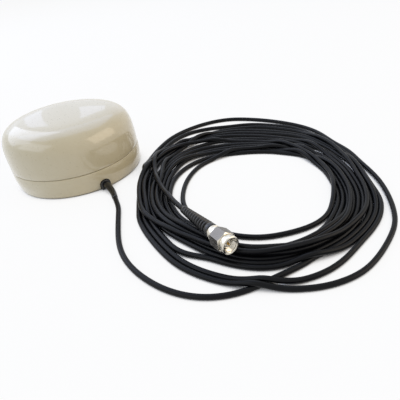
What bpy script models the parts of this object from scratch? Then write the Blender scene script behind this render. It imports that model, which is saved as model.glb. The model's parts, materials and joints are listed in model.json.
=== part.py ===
"""GPS antenna: a round radome on a flat base, with a coiled coaxial lead and a screw-on plug.

Metres, +Z up. The origin is the middle of the rubber foot's underside, on the surface that the
antenna stands on. The coaxial lead leaves the base wall, lies in a coil beside the antenna and
ends in a plug whose coupling nut spins on the plug's own axis.
"""

import math

import bmesh
import bpy
from mathutils import Matrix, Vector

MM = 0.001

# Housing: the radome above the split line and the base below it
HOUSING_RADIUS = 40.0
HOUSING_HEIGHT = 40.0
BASE_FOOT_INSET = 0.8
WALL_BREAK_Z = 7.0
SHOULDER_EXPONENT = 5.6
SPLIT_Z = 13.4
SPLIT_GAP = 0.3
SPLIT_CHAMFER = 0.35
RADOME_WALL = 2.4
BASE_WALL = 3.6
BASE_FLOOR = 3.0
BASE_EDGE_RADIUS = 0.6
FOOT_PROUD = 0.4
HOUSING_SEGMENTS = 40

# Lip and seal at the split line
LIP_DEPTH = 1.9
LIP_THICKNESS = 1.4
REBATE_WALL = 1.6
SEAL_SECTION = 1.5
CLEARANCE = 0.3

# Closing screws: up through the base into bosses of the radome
SCREW_COUNT = 4
SCREW_SHANK = 2.9
SCREW_LENGTH = 13.0
SCREW_HEAD = 5.4
SCREW_HEAD_HEIGHT = 2.0
SCREW_HEAD_SUNK = 0.4
SCREW_SEAT = 2.0
SEAT_WALL = 0.6
CROSS_DEPTH = 0.9
CROSS_WIDTH = 0.8
CROSS_SPAN = 3.0
CROSS_FLOOR = 0.4
SCREW_POINT = 2.3
BOSS_DIAMETER = 6.4
BOSS_TOP_Z = 25.0
BOSS_TO_WALL = 0.8
GUSSET_THICKNESS = 1.6
PILOT_SPARE = 1.0

# Rubber foot and the magnets above it
FOOT_THICKNESS = 1.1
FOOT_TO_SCREWS = 1.4
EDGE_BREAK = 0.3
MAGNET_COUNT = 3
MAGNET_RADIUS = 6.0
MAGNET_HEIGHT = 2.7
MAGNET_INSET = 5.0
POCKET_WALL = 1.6
POCKET_ROOF = 1.3

# Circuit board on posts of the base
BOARD_TO_BOSSES = 1.2
BOARD_THICKNESS = 1.6
BOARD_Z = 14.3
POST_INSET = 4.0
POST_DIAMETER = 5.6
BOARD_SCREW_SHANK = 2.2
BOARD_SCREW_LENGTH = 7.0
BOARD_SCREW_HEAD = 4.2
BOARD_SCREW_HEAD_HEIGHT = 1.5

# Ceramic patch and the electronics on the board
PATCH_SIDE = 25.0
PATCH_HEIGHT = 4.0
PATCH_CORNER = 1.2
TAPE_THICKNESS = 0.5
TAPE_INSET = 1.0
FEED_OFFSET = 2.0
FEED_RADIUS = 0.45
FEED_HEAD_RADIUS = 1.2
FEED_HEAD_HEIGHT = 0.4
FEED_STUB = 1.0
SHIELD_TO_POSTS = 1.35
SHIELD_HEIGHT = 3.2
SHIELD_WALL = 0.5
SHIELD_OFFSET = 2.0
AMPLIFIER_SIZE = (3.0, 3.0, 1.0)
AMPLIFIER_CENTRE = (-5.0, 4.0)
FILTER_SIZE = (5.0, 5.0, 1.5)
FILTER_CENTRE = (5.0, 4.0)

# Lead: where it leaves the wall, its jacket and the grommet that holds it
EXIT_AZIMUTH = math.radians(-50.0)
EXIT_Z = 3.2
CORD_DIAMETER = 2.8
GROMMET_WIDTH = 6.2
GROMMET_PROUD = 1.0
GROMMET_FLANGE = 1.3
GROMMET_FLANGE_THICKNESS = 1.5
SLEEVE_START = 4.4
SLEEVE_END = 3.2

# The sleeve's route from the wall: outward, sideways and up
SLEEVE_ROUTE = [(-1.5, 0.0, EXIT_Z), (5.0, 0.0, 3.0), (11.5, -0.3, 2.4), (18.2, -1.1, 1.9)]

# The lead's route inside the base: inward from the grommet and up to the board's underside
INNER_CORD_Z = 5.3
INNER_CORD_REACH = [(5.0, 0.3), (10.0, 1.6), (14.2, 3.6), (15.8, 6.2)]
INNER_CORD_END = 16.0

# The lead's route over the floor, from the sleeve's end to the coil's side
CORD_LIFT = 0.05
LEAD_ROUTE_XY = [
    (40.0, -56.5), (42.4, -66.0), (45.2, -76.5), (48.2, -86.8), (52.4, -96.6), (58.0, -105.3),
    (65.0, -113.1), (73.0, -119.9), (81.0, -124.9), (89.6, -128.4), (97.4, -129.8),
]
LEAD_STRAIGHT = 3.0
LEAD_END_X = 105.0

# Coil: an oval of turns round an opening that lies a little nearer the front
COIL_TO_HOUSING = 3.0
COIL_CENTRE_Y = -37.5
COIL_HALF_X = 76.5
COIL_HALF_Y = 92.5
COIL_OPENING_CENTRE = (117.0, -50.5)
COIL_OPENING_RADIUS = 45.0
COIL_HEIGHT = 6.2
COIL_ROUNDING = 2.6
COIL_SEGMENTS = 40
TAIL_ROUTE_XY = [(53.0, -14.0), (56.0, -25.0), (60.8, -38.0), (66.4, -49.4), (73.0, -61.4)]
TAIL_STRAIGHT = 4.0

# Plug: lies on the coil, its nut towards the front
PLUG_FRONT = (107.7, -111.8)
PLUG_AZIMUTH = math.radians(-54.9)
NUT_FLATS = 9.0
NUT_HEX_LENGTH = 8.4
NUT_COLLAR_DIAMETER = 8.8
NUT_COLLAR_LENGTH = 4.2
NUT_GROOVE_DEPTH = 0.35
NUT_GROOVE_WIDTH = 0.5
NUT_CHAMFER = 0.55
NUT_OVERLAP = 1.0
THREAD_BORE = 5.7
THREAD_LENGTH = 4.0
THREAD_LEAD_IN = 0.4
RING_CHAMBER = 6.7
NUT_BACK_WALL = 1.2
PLUG_GAP = 0.15
PLUG_EDGE = 0.3
BODY_NECK = 4.6
BODY_SLEEVE = 4.6
BODY_SLEEVE_BORE = 3.7
BODY_SLEEVE_SETBACK = 2.6
BODY_SHOULDER = 5.1
BODY_COLLAR_DIAMETER = 7.4
BODY_COLLAR_LENGTH = 2.8
SPIGOT_DIAMETER = 3.2
SPIGOT_SHORT = 0.6
RING_THICKNESS = 0.6
RING_GROOVE_DEPTH = 0.45
RING_SPLIT = 0.8
GASKET_THICKNESS = 0.8
INSULATOR_SETBACK = 0.2
PIN_DIAMETER = 0.92
PIN_SETBACK = 1.2
PIN_TIP = 0.5
PIN_SHORT = 1.0
FERRULE_DIAMETER = 4.8
FERRULE_LENGTH = 5.0
BOOT_LENGTH = 31.0
BOOT_THICK = 7.2
BOOT_THIN = 4.0
BOOT_WEB = 0.8
BOOT_RIBS = 11
BOOT_GROOVE_DEPTH = 0.75
BOOT_GROOVE_FADE = 0.55
PLUG_SEGMENTS = 24

# Sizes worked out from the ones above
BASE_FOOT_RADIUS = HOUSING_RADIUS - BASE_FOOT_INSET
SPLIT_LOW = SPLIT_Z - SPLIT_GAP / 2
SPLIT_HIGH = SPLIT_Z + SPLIT_GAP / 2
BASE_INNER_RADIUS = HOUSING_RADIUS - BASE_WALL
FLOOR_TOP = FOOT_PROUD + BASE_FLOOR
REBATE_RADIUS = HOUSING_RADIUS - REBATE_WALL
LIP_RADIUS = REBATE_RADIUS - CLEARANCE
LIP_INNER_RADIUS = LIP_RADIUS - LIP_THICKNESS
LIP_Z = SPLIT_HIGH - LIP_DEPTH
SEAL_Z = LIP_Z - CLEARANCE - SEAL_SECTION / 2
REBATE_Z = SEAL_Z - SEAL_SECTION / 2 - CLEARANCE
SCREW_AZIMUTH = EXIT_AZIMUTH + math.pi / SCREW_COUNT
SCREW_CIRCLE = BASE_INNER_RADIUS - BOSS_TO_WALL - BOSS_DIAMETER / 2
FOOT_RADIUS = SCREW_CIRCLE - SCREW_HEAD / 2 - CLEARANCE - FOOT_TO_SCREWS
MAGNET_CIRCLE = FOOT_RADIUS - MAGNET_INSET - MAGNET_RADIUS
BOARD_RADIUS = SCREW_CIRCLE - BOSS_DIAMETER / 2 - BOARD_TO_BOSSES
POST_CIRCLE = BOARD_RADIUS - POST_INSET
SHIELD_CORNER = POST_CIRCLE - POST_DIAMETER / 2 - SHIELD_TO_POSTS
SHIELD_SIDE = math.sqrt(2 * SHIELD_CORNER ** 2 - SHIELD_OFFSET ** 2) - SHIELD_OFFSET
RECESS_RADIUS = FOOT_RADIUS + CLEARANCE
RECESS_Z = FOOT_THICKNESS + CLEARANCE
MAGNET_Z = RECESS_Z
POCKET_TOP = MAGNET_Z + MAGNET_HEIGHT + CLEARANCE
HEAD_Z = FOOT_PROUD + SCREW_HEAD_SUNK
SEAT_Z = HEAD_Z + SCREW_HEAD_HEIGHT + CLEARANCE
SEAT_TOP = SEAT_Z + SCREW_SEAT
POST_TOP = BOARD_Z - CLEARANCE
BOARD_TOP = BOARD_Z + BOARD_THICKNESS
TAPE_Z = BOARD_TOP + CLEARANCE
PATCH_Z = TAPE_Z + TAPE_THICKNESS + CLEARANCE
PATCH_TOP = PATCH_Z + PATCH_HEIGHT
NUT_LENGTH = NUT_HEX_LENGTH + NUT_COLLAR_LENGTH
NUT_CORNER_RADIUS = NUT_FLATS / 2 / math.cos(math.pi / 6)
BODY_SHOULDER_X = -THREAD_LENGTH - CLEARANCE - GASKET_THICKNESS - PLUG_GAP
RING_X = -NUT_LENGTH + NUT_BACK_WALL + CLEARANCE + RING_THICKNESS / 2
BODY_COLLAR_X = -NUT_LENGTH - CLEARANCE
SPIGOT_X = BODY_COLLAR_X - BODY_COLLAR_LENGTH
FERRULE_X = SPIGOT_X - CLEARANCE
FERRULE_END_X = FERRULE_X - FERRULE_LENGTH
SPIGOT_END_X = FERRULE_END_X + SPIGOT_SHORT
BOOT_X = SPIGOT_X - CLEARANCE
BOOT_BORE_END_X = FERRULE_END_X - CLEARANCE
BOOT_COLLAR_END_X = BOOT_BORE_END_X - BOOT_WEB
BOOT_END_X = BOOT_X - BOOT_LENGTH
COIL_CENTRE = (HOUSING_RADIUS + COIL_TO_HOUSING + COIL_HALF_X, COIL_CENTRE_Y)
LEAD_Z = CORD_DIAMETER / 2 + CORD_LIFT
TAIL_Z = COIL_HEIGHT + CLEARANCE + CORD_DIAMETER / 2
NUT_AXIS_Z = COIL_HEIGHT + CLEARANCE + NUT_CORNER_RADIUS
BOOT_END_Z = COIL_HEIGHT + CLEARANCE + BOOT_THIN / 2
PLUG_PITCH = math.asin((NUT_AXIS_Z - BOOT_END_Z) / (-BOOT_END_X - NUT_LENGTH))


def clear_scene():
    for item in list(bpy.data.objects):
        bpy.data.objects.remove(item, do_unlink=True)
    for group in list(bpy.data.collections):
        bpy.data.collections.remove(group)


clear_scene()
PARTS = bpy.data.collections.new("gps_antenna")
CUTTERS = bpy.data.collections.new("cutters")
bpy.context.scene.collection.children.link(PARTS)
bpy.context.scene.collection.children.link(CUTTERS)


def material(name, colour, roughness, metallic=0.0):
    item = bpy.data.materials.new(name)
    item.use_nodes = True
    shader = item.node_tree.nodes["Principled BSDF"]
    shader.inputs["Base Color"].default_value = (*colour, 1.0)
    shader.inputs["Roughness"].default_value = roughness
    shader.inputs["Metallic"].default_value = metallic
    item.diffuse_color = (*colour, 1.0)
    return item


IVORY = (0.72, 0.66, 0.52)
BLACK = (0.012, 0.012, 0.013)
NICKEL = (0.66, 0.64, 0.60)


def add_object(name, data, finish=None, parent=None, group=PARTS):
    item = bpy.data.objects.new(name, data)
    group.objects.link(item)
    item.parent = parent
    if finish:
        data.materials.append(finish)
    return item


def add_empty(name, matrix):
    item = bpy.data.objects.new(name, None)
    PARTS.objects.link(item)
    item.matrix_world = matrix
    return item


def as_cutter(item):
    item.hide_render = True
    item.display_type = "WIRE"
    return item


def bmesh_object(name, bm, finish=None, parent=None, group=PARTS):
    mesh = bpy.data.meshes.new(name)
    bm.to_mesh(mesh)
    bm.free()
    item = add_object(name, mesh, finish, parent, group)
    return item


def turned(name, profile, segments, finish=None, parent=None, group=PARTS, closed=False, stretch=1.0):
    """A turned solid: the profile (radius, height) in mm runs down its outer side, top to bottom."""
    bm = bmesh.new()
    points = [bm.verts.new((radius * MM, 0, height * MM)) for radius, height in profile]
    pairs = list(zip(points, points[1:]))
    if closed:
        pairs.append((points[-1], points[0]))
    for first, second in pairs:
        bm.edges.new((first, second))
    item = bmesh_object(name, bm, finish, parent, group)
    screw = item.modifiers.new("turn", "SCREW")
    screw.axis = "Z"
    screw.angle = math.tau
    screw.steps = segments
    screw.render_steps = segments
    screw.use_merge_vertices = True
    screw.merge_threshold = 0.00001
    screw.use_smooth_shade = True
    if stretch != 1.0:
        bake(item)
        item.data.transform(Matrix.Diagonal((1, stretch, 1, 1)))
    return item


def bake(item):
    """Gives an object the mesh that its modifiers make, so that it can be scaled or turned."""
    graph = bpy.context.evaluated_depsgraph_get()
    mesh = bpy.data.meshes.new_from_object(item.evaluated_get(graph))
    item.modifiers.clear()
    item.data = mesh
    return item


def box(name, size, centre, finish=None, parent=None, group=PARTS, round_edge=0.0):
    """A block of a size in mm about a centre, with its upright edges rounded."""
    bm = bmesh.new()
    bmesh.ops.create_cube(bm, size=1)
    bmesh.ops.scale(bm, vec=Vector(size) * MM, verts=bm.verts)
    bmesh.ops.translate(bm, vec=Vector(centre) * MM, verts=bm.verts)
    if round_edge:
        upright = [e for e in bm.edges if abs(e.verts[0].co.z - e.verts[1].co.z) > 0.5 * size[2] * MM]
        bmesh.ops.bevel(bm, geom=upright, offset=round_edge * MM, segments=3, profile=0.5, affect="EDGES")
    return bmesh_object(name, bm, finish, parent, group)


def cylinder(name, radius, low, high, at, segments, finish=None, parent=None, group=PARTS):
    bm = bmesh.new()
    bmesh.ops.create_cone(
        bm, cap_ends=True, segments=segments, radius1=radius * MM, radius2=radius * MM,
        depth=(high - low) * MM
    )
    bmesh.ops.translate(bm, vec=Vector((at[0], at[1], (low + high) / 2)) * MM, verts=bm.verts)
    item = bmesh_object(name, bm, finish, parent, group)
    item.data.shade_smooth()
    item.data.set_sharp_from_angle(angle=math.radians(40))
    return item


def boolean(item, other, operation):
    modifier = item.modifiers.new(f"{operation.lower()} {other.name}", "BOOLEAN")
    modifier.operation = operation
    modifier.solver = "EXACT"
    modifier.object = other
    as_cutter(other)
    return item


def cut(item, cutter):
    return boolean(item, cutter, "DIFFERENCE")


def join(item, addition):
    return boolean(item, addition, "UNION")


def polar(radius, azimuth):
    return radius * math.cos(azimuth), radius * math.sin(azimuth)


def around(count, radius, start):
    return [polar(radius, start + index * math.tau / count) for index in range(count)]


def smooth_route(route, spacing):
    """Points a set distance apart along the smooth curve through a route's own points."""
    padded = [route[0], *route, route[-1]]
    dense = []
    for before, here, there, after in zip(padded, padded[1:], padded[2:], padded[3:]):
        p0, p1, p2, p3 = Vector(before), Vector(here), Vector(there), Vector(after)
        for step in range(24):
            t = step / 24
            dense.append(0.5 * (2 * p1 + (p2 - p0) * t + (2 * p0 - 5 * p1 + 4 * p2 - p3) * t * t
                                + (3 * p1 - 3 * p2 + p3 - p0) * t ** 3))
    dense.append(Vector(route[-1]))
    length = sum((b - a).length for a, b in zip(dense, dense[1:]))
    count = max(2, round(length / spacing))
    points = [dense[0]]
    wanted = length / count
    run = 0.0
    for first, second in zip(dense, dense[1:]):
        step = (second - first).length
        while len(points) < count and run + step >= wanted * len(points):
            points.append(first.lerp(second, (wanted * len(points) - run) / step))
        run += step
    points.append(dense[-1])
    return points


def tube(name, points, diameters, resolution, finish=None, parent=None, group=PARTS):
    """A round tube along points in mm, with a diameter for each point."""
    curve = bpy.data.curves.new(name, "CURVE")
    curve.dimensions = "3D"
    curve.bevel_depth = diameters[0] / 2 * MM
    curve.bevel_resolution = resolution
    curve.use_fill_caps = True
    spline = curve.splines.new("POLY")
    spline.points.add(len(points) - 1)
    for point, place, diameter in zip(spline.points, points, diameters):
        point.co = (*(Vector(place) * MM), 1.0)
        point.radius = diameter / diameters[0]
    return add_object(name, curve, finish, parent, group)


def as_mesh(item):
    """Turns a curve object into a closed mesh object of the same name, place and parent."""
    bpy.context.view_layer.update()
    graph = bpy.context.evaluated_depsgraph_get()
    mesh = bpy.data.meshes.new_from_object(item.evaluated_get(graph))
    bm = bmesh.new()
    bm.from_mesh(mesh)
    bmesh.ops.remove_doubles(bm, verts=bm.verts, dist=0.000001)
    bmesh.ops.recalc_face_normals(bm, faces=bm.faces)
    bm.to_mesh(mesh)
    bm.free()
    name, group = item.name, item.users_collection[0]
    placed = bpy.data.objects.new(name, mesh)
    group.objects.link(placed)
    placed.parent = item.parent
    placed.matrix_world = item.matrix_world.copy()
    bpy.data.objects.remove(item)
    placed.name = name
    return placed


def wall_radius(height):
    """Outer radius of the housing at a height, up to the crown."""
    if height <= WALL_BREAK_Z:
        share = (height - FOOT_PROUD) / (WALL_BREAK_Z - FOOT_PROUD)
        return BASE_FOOT_RADIUS + (HOUSING_RADIUS - BASE_FOOT_RADIUS) * share
    share = (height - WALL_BREAK_Z) / (HOUSING_HEIGHT - WALL_BREAK_Z)
    return HOUSING_RADIUS * (1 - share ** SHOULDER_EXPONENT) ** (1 / SHOULDER_EXPONENT)


def shoulder(inset, lowest, count):
    """Profile points of the crown and shoulder, from the axis down to a height."""
    radius = HOUSING_RADIUS - inset
    height = HOUSING_HEIGHT - inset - WALL_BREAK_Z
    points = []
    for index in range(count + 1):
        angle = math.pi / 2 * (1 - index / count)
        across = radius * math.cos(angle) ** (2 / SHOULDER_EXPONENT) if index else 0.0
        up = WALL_BREAK_Z + height * math.sin(angle) ** (2 / SHOULDER_EXPONENT)
        if up > lowest + 1.5:
            points.append((across, up))
    return points


def make_radome(finish):
    """The upper shell: crowned top, rounded shoulder, a lip that plugs the base, four screw bosses."""
    outer = shoulder(0.0, SPLIT_HIGH, 16)
    inner = shoulder(RADOME_WALL, SPLIT_HIGH + 4.0, 10)
    edge = wall_radius(SPLIT_HIGH)
    profile = outer + [
        (edge, SPLIT_HIGH + SPLIT_CHAMFER),
        (edge - SPLIT_CHAMFER, SPLIT_HIGH),
        (LIP_RADIUS, SPLIT_HIGH),
        (LIP_RADIUS, LIP_Z),
        (LIP_INNER_RADIUS, LIP_Z),
        (LIP_INNER_RADIUS, SPLIT_HIGH + 2.5),
    ] + inner[::-1]
    radome = turned("radome", profile, HOUSING_SEGMENTS, finish)
    for index, (x, y) in enumerate(around(SCREW_COUNT, SCREW_CIRCLE, SCREW_AZIMUTH), 1):
        azimuth = math.atan2(y, x)
        gusset_out = HOUSING_RADIUS - RADOME_WALL / 2 - SCREW_CIRCLE
        low = SPLIT_HIGH + 1.0
        gusset = box(
            f"gusset_{index}", (gusset_out, GUSSET_THICKNESS, BOSS_TOP_Z - low - 1.0),
            (gusset_out / 2, 0, (BOSS_TOP_Z - 1.0 + low) / 2), group=CUTTERS
        )
        gusset.location = (x * MM, y * MM, 0)
        gusset.rotation_euler = (0, 0, azimuth)
        boss = cylinder(
            f"boss_{index}", BOSS_DIAMETER / 2, SEAT_TOP + CLEARANCE, BOSS_TOP_Z, (x, y), 16, group=CUTTERS
        )
        pilot = cylinder(
            f"pilot_{index}", SCREW_SHANK / 2 + CLEARANCE, SEAT_TOP,
            SEAT_Z + SCREW_LENGTH + PILOT_SPARE, (x, y), 12, group=CUTTERS
        )
        join(radome, gusset)
        join(radome, boss)
        cut(radome, pilot)
    return radome


def arch(name, width, top, low, high, parent, group=CUTTERS):
    """A plate across the cable's way: flat below, half round on top, from low to high along +X."""
    curve = bpy.data.curves.new(name, "CURVE")
    curve.dimensions = "2D"
    curve.fill_mode = "BOTH"
    curve.extrude = (high - low) / 2 * MM
    spline = curve.splines.new("POLY")
    half = width / 2
    rim = [(half * math.cos(angle), top - half + half * math.sin(angle))
           for angle in (math.pi * step / 10 for step in range(11))]
    outline = [(half, FOOT_PROUD)] + rim + [(-half, FOOT_PROUD)]
    spline.points.add(len(outline) - 1)
    for point, (across, up) in zip(spline.points, outline):
        point.co = (across * MM, up * MM, 0, 1)
    spline.use_cyclic_u = True
    item = add_object(name, curve, None, parent, group)
    item.location = ((low + high) / 2 * MM, 0, 0)
    item.rotation_euler = (math.pi / 2, 0, math.pi / 2)
    return as_mesh(item)


def make_base(finish, cable_way):
    """The base: floor, wall with a rebate for the seal, screw seats, magnet pockets and board posts."""
    edge = BASE_EDGE_RADIUS
    rim = [(BASE_FOOT_RADIUS - edge + edge * math.cos(angle), FOOT_PROUD + edge - edge * math.sin(angle))
           for angle in (math.pi / 2 * step / 3 for step in range(4))]
    profile = [
        (0, FLOOR_TOP),
        (BASE_INNER_RADIUS - 1.0, FLOOR_TOP),
        (BASE_INNER_RADIUS, FLOOR_TOP + 1.0),
        (BASE_INNER_RADIUS, REBATE_Z),
        (REBATE_RADIUS, REBATE_Z),
        (REBATE_RADIUS, SPLIT_LOW),
        (wall_radius(SPLIT_LOW) - SPLIT_CHAMFER, SPLIT_LOW),
        (wall_radius(SPLIT_LOW), SPLIT_LOW - SPLIT_CHAMFER),
        (HOUSING_RADIUS, WALL_BREAK_Z),
    ] + rim + [
        (RECESS_RADIUS, FOOT_PROUD),
        (RECESS_RADIUS, RECESS_Z),
        (0, RECESS_Z),
    ]
    base = turned("base_housing", profile, HOUSING_SEGMENTS, finish)
    for index, (x, y) in enumerate(around(SCREW_COUNT, SCREW_CIRCLE, SCREW_AZIMUTH), 1):
        sink = SCREW_HEAD / 2 + CLEARANCE
        hole = SCREW_SHANK / 2 + CLEARANCE
        seat = cylinder(f"seat_{index}", sink + SEAT_WALL, FLOOR_TOP - 1, SEAT_TOP, (x, y), 20, group=CUTTERS)
        join(base, seat)
        cut(base, cylinder(f"sink_{index}", sink, 0, SEAT_Z, (x, y), 16, group=CUTTERS))
        cut(base, cylinder(f"hole_{index}", hole, 0, SEAT_TOP + 1, (x, y), 12, group=CUTTERS))
    for index, (x, y) in enumerate(around(MAGNET_COUNT, MAGNET_CIRCLE, SCREW_AZIMUTH), 1):
        radius = MAGNET_RADIUS + CLEARANCE
        roof = POCKET_TOP + POCKET_ROOF
        pocket = cylinder(
            f"pocket_{index}", radius + POCKET_WALL, RECESS_Z + 1, roof, (x, y), 20, group=CUTTERS
        )
        join(base, pocket)
        cut(base, cylinder(f"bore_{index}", radius, 0, POCKET_TOP, (x, y), 20, group=CUTTERS))
    for index, (x, y) in enumerate(board_posts(), 1):
        low = POST_TOP - BOARD_SCREW_LENGTH
        tap = BOARD_SCREW_SHANK / 2 + CLEARANCE
        post = cylinder(
            f"post_{index}", POST_DIAMETER / 2, FLOOR_TOP - 1, POST_TOP, (x, y), 16, group=CUTTERS
        )
        join(base, post)
        cut(base, cylinder(f"tap_{index}", tap, low, POST_TOP + 1, (x, y), 12, group=CUTTERS))
    inside = flange_face() - CLEARANCE
    notch = arch(
        "cable_notch", GROMMET_WIDTH + 2 * CLEARANCE, grommet_top() + CLEARANCE, inside, HOUSING_RADIUS + 2,
        cable_way
    )
    pocket = arch(
        "flange_pocket", GROMMET_WIDTH + 2 * GROMMET_FLANGE + 2 * CLEARANCE,
        grommet_top() + GROMMET_FLANGE + CLEARANCE, inside, BASE_INNER_RADIUS - CLEARANCE / 2, cable_way
    )
    for opening in (notch, pocket):
        lower_rim(opening)
        cut(base, opening)
    return base


def lower_rim(item):
    """Carries a cutter's flat lower side through the underside that it opens."""
    for vertex in item.data.vertices:
        if vertex.co.y < (FOOT_PROUD + 0.05) * MM:
            vertex.co.y = -1.0 * MM


def grommet_top():
    return EXIT_Z + GROMMET_WIDTH / 2


def flange_face():
    """How far out from the middle the grommet's inner face lies."""
    return BASE_INNER_RADIUS - CLEARANCE - GROMMET_FLANGE_THICKNESS


def board_posts():
    return around(MAGNET_COUNT, POST_CIRCLE, SCREW_AZIMUTH + math.pi / MAGNET_COUNT)


def make_seal(finish):
    centre = (REBATE_RADIUS + BASE_INNER_RADIUS) / 2
    half = SEAL_SECTION / 2
    section = [(centre + half * math.cos(angle), SEAL_Z - half * math.sin(angle))
               for angle in (math.tau * step / 6 for step in range(6))]
    return turned("seal_ring", section, HOUSING_SEGMENTS, finish, closed=True)


def make_screw(name, head_radius, head_height, shank_radius, length, head_z, at, finish, up=True):
    """A pan-head self-tapping screw with a cross recess; it points up, or down from above."""
    tip = length + head_height
    profile = [
        (0, tip), (0.35 * shank_radius, tip), (shank_radius, tip - SCREW_POINT), (shank_radius, head_height),
        (head_radius, head_height), (head_radius, 0.35 * head_height), (0.78 * head_radius, 0), (0, 0),
    ]
    screw = turned(name, profile, 12, finish)
    depth = min(CROSS_DEPTH, head_height - CROSS_FLOOR)
    span = CROSS_SPAN * head_radius / (SCREW_HEAD / 2)
    for number, size in enumerate(((span, CROSS_WIDTH), (CROSS_WIDTH, span)), 1):
        slot = box(f"{name}_slot_{number}", (*size, 2 * depth), (0, 0, 0), group=CUTTERS)
        slot.parent = screw
        cut(screw, slot)
    screw.location = (at[0] * MM, at[1] * MM, head_z * MM)
    if not up:
        screw.rotation_euler = (math.pi, 0, 0)
    return screw


def make_closing_screws(finish):
    for index, at in enumerate(around(SCREW_COUNT, SCREW_CIRCLE, SCREW_AZIMUTH), 1):
        make_screw(f"closing_screw_{index}", SCREW_HEAD / 2, SCREW_HEAD_HEIGHT, SCREW_SHANK / 2,
                   SCREW_LENGTH, HEAD_Z, at, finish)


def make_board_screws(finish):
    top = BOARD_TOP + CLEARANCE + BOARD_SCREW_HEAD_HEIGHT
    length = BOARD_SCREW_LENGTH + BOARD_THICKNESS - PILOT_SPARE / 2
    for index, at in enumerate(board_posts(), 1):
        make_screw(f"board_screw_{index}", BOARD_SCREW_HEAD / 2, BOARD_SCREW_HEAD_HEIGHT,
                   BOARD_SCREW_SHANK / 2, length, top, at, finish, up=False)


def make_foot(finish):
    profile = [
        (0, FOOT_THICKNESS), (FOOT_RADIUS, FOOT_THICKNESS), (FOOT_RADIUS, EDGE_BREAK),
        (FOOT_RADIUS - EDGE_BREAK, 0), (0, 0),
    ]
    return turned("rubber_foot", profile, 40, finish)


def make_magnets(finish):
    edge = EDGE_BREAK
    low, high, radius = MAGNET_Z, MAGNET_Z + MAGNET_HEIGHT, MAGNET_RADIUS
    profile = [
        (0, high), (radius - edge, high), (radius, high - edge), (radius, low + edge),
        (radius - edge, low), (0, low),
    ]
    for index, (x, y) in enumerate(around(MAGNET_COUNT, MAGNET_CIRCLE, SCREW_AZIMUTH), 1):
        magnet = turned(f"magnet_{index}", profile, 20, finish)
        magnet.location = (x * MM, y * MM, 0)


def make_board(finish):
    board = cylinder("circuit_board", BOARD_RADIUS, BOARD_Z, BOARD_TOP, (0, 0), 40, finish)
    for index, (x, y) in enumerate(board_posts(), 1):
        cut(board, cylinder(
            f"board_hole_{index}", BOARD_SCREW_SHANK / 2 + CLEARANCE, BOARD_Z - 1, BOARD_TOP + 1, (x, y), 14,
            group=CUTTERS
        ))
    cut(board, feed_hole("board_feed_hole"))
    return board


def feed_hole(name):
    radius = FEED_RADIUS + CLEARANCE
    return cylinder(name, radius, BOARD_Z - 1, PATCH_TOP + 1, (0, FEED_OFFSET), 12, group=CUTTERS)


def make_patch(ceramic, adhesive):
    side = PATCH_SIDE - 2 * TAPE_INSET
    tape = box("patch_tape", (side, side, TAPE_THICKNESS), (0, 0, TAPE_Z + TAPE_THICKNESS / 2), adhesive)
    patch = box(
        "ceramic_patch", (PATCH_SIDE, PATCH_SIDE, PATCH_HEIGHT), (0, 0, PATCH_Z + PATCH_HEIGHT / 2),
        ceramic, round_edge=PATCH_CORNER
    )
    cut(tape, feed_hole("tape_feed_hole"))
    cut(patch, feed_hole("patch_feed_hole"))


def make_feed_pin(finish):
    head = PATCH_TOP + CLEARANCE
    profile = [
        (0, head + FEED_HEAD_HEIGHT), (0.7 * FEED_HEAD_RADIUS, head + FEED_HEAD_HEIGHT),
        (FEED_HEAD_RADIUS, head),
        (FEED_RADIUS, head), (FEED_RADIUS, BOARD_Z - FEED_STUB), (0, BOARD_Z - FEED_STUB),
    ]
    pin = turned("feed_pin", profile, 12, finish)
    pin.location = (0, FEED_OFFSET * MM, 0)
    return pin


def make_shield(finish, dark):
    x, y = 0, SHIELD_OFFSET
    top = BOARD_Z - CLEARANCE
    middle = top - SHIELD_HEIGHT / 2
    can = box("shield_can", (SHIELD_SIDE, SHIELD_SIDE, SHIELD_HEIGHT), (x, y, middle), finish, round_edge=1.0)
    inner = SHIELD_SIDE - 2 * SHIELD_WALL
    cut(can, box("shield_hollow", (inner, inner, SHIELD_HEIGHT), (x, y, middle + SHIELD_WALL), group=CUTTERS))
    for name, size, centre in (
        ("amplifier_chip", AMPLIFIER_SIZE, AMPLIFIER_CENTRE), ("signal_filter", FILTER_SIZE, FILTER_CENTRE)
    ):
        box(name, size, (*centre, top - size[2] / 2), dark, round_edge=0.3)


def sleeve_points():
    """The sleeve's middle line, in the cable way's own frame."""
    return smooth_route([(HOUSING_RADIUS + out, side, up) for out, side, up in SLEEVE_ROUTE], 2.0)


def make_grommet(finish, cable_way):
    """The moulded grommet: an inner flange, a waist in the wall's notch and a tapered sleeve."""
    within = flange_face() + GROMMET_FLANGE_THICKNESS / 3
    grommet = arch(
        "cable_grommet", GROMMET_WIDTH, grommet_top(), within, HOUSING_RADIUS + GROMMET_PROUD,
        cable_way, group=PARTS
    )
    grommet.data.materials.append(finish)
    flange = arch(
        "grommet_flange", GROMMET_WIDTH + 2 * GROMMET_FLANGE, grommet_top() + GROMMET_FLANGE,
        flange_face(), BASE_INNER_RADIUS - CLEARANCE, cable_way
    )
    points = sleeve_points()
    share = [index / (len(points) - 1) for index in range(len(points))]
    diameters = [SLEEVE_START + (SLEEVE_END - SLEEVE_START) * part for part in share]
    sleeve = as_mesh(tube("grommet_sleeve", points, diameters, 3, None, cable_way, CUTTERS))
    join(grommet, flange)
    join(grommet, sleeve)
    return grommet


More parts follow.
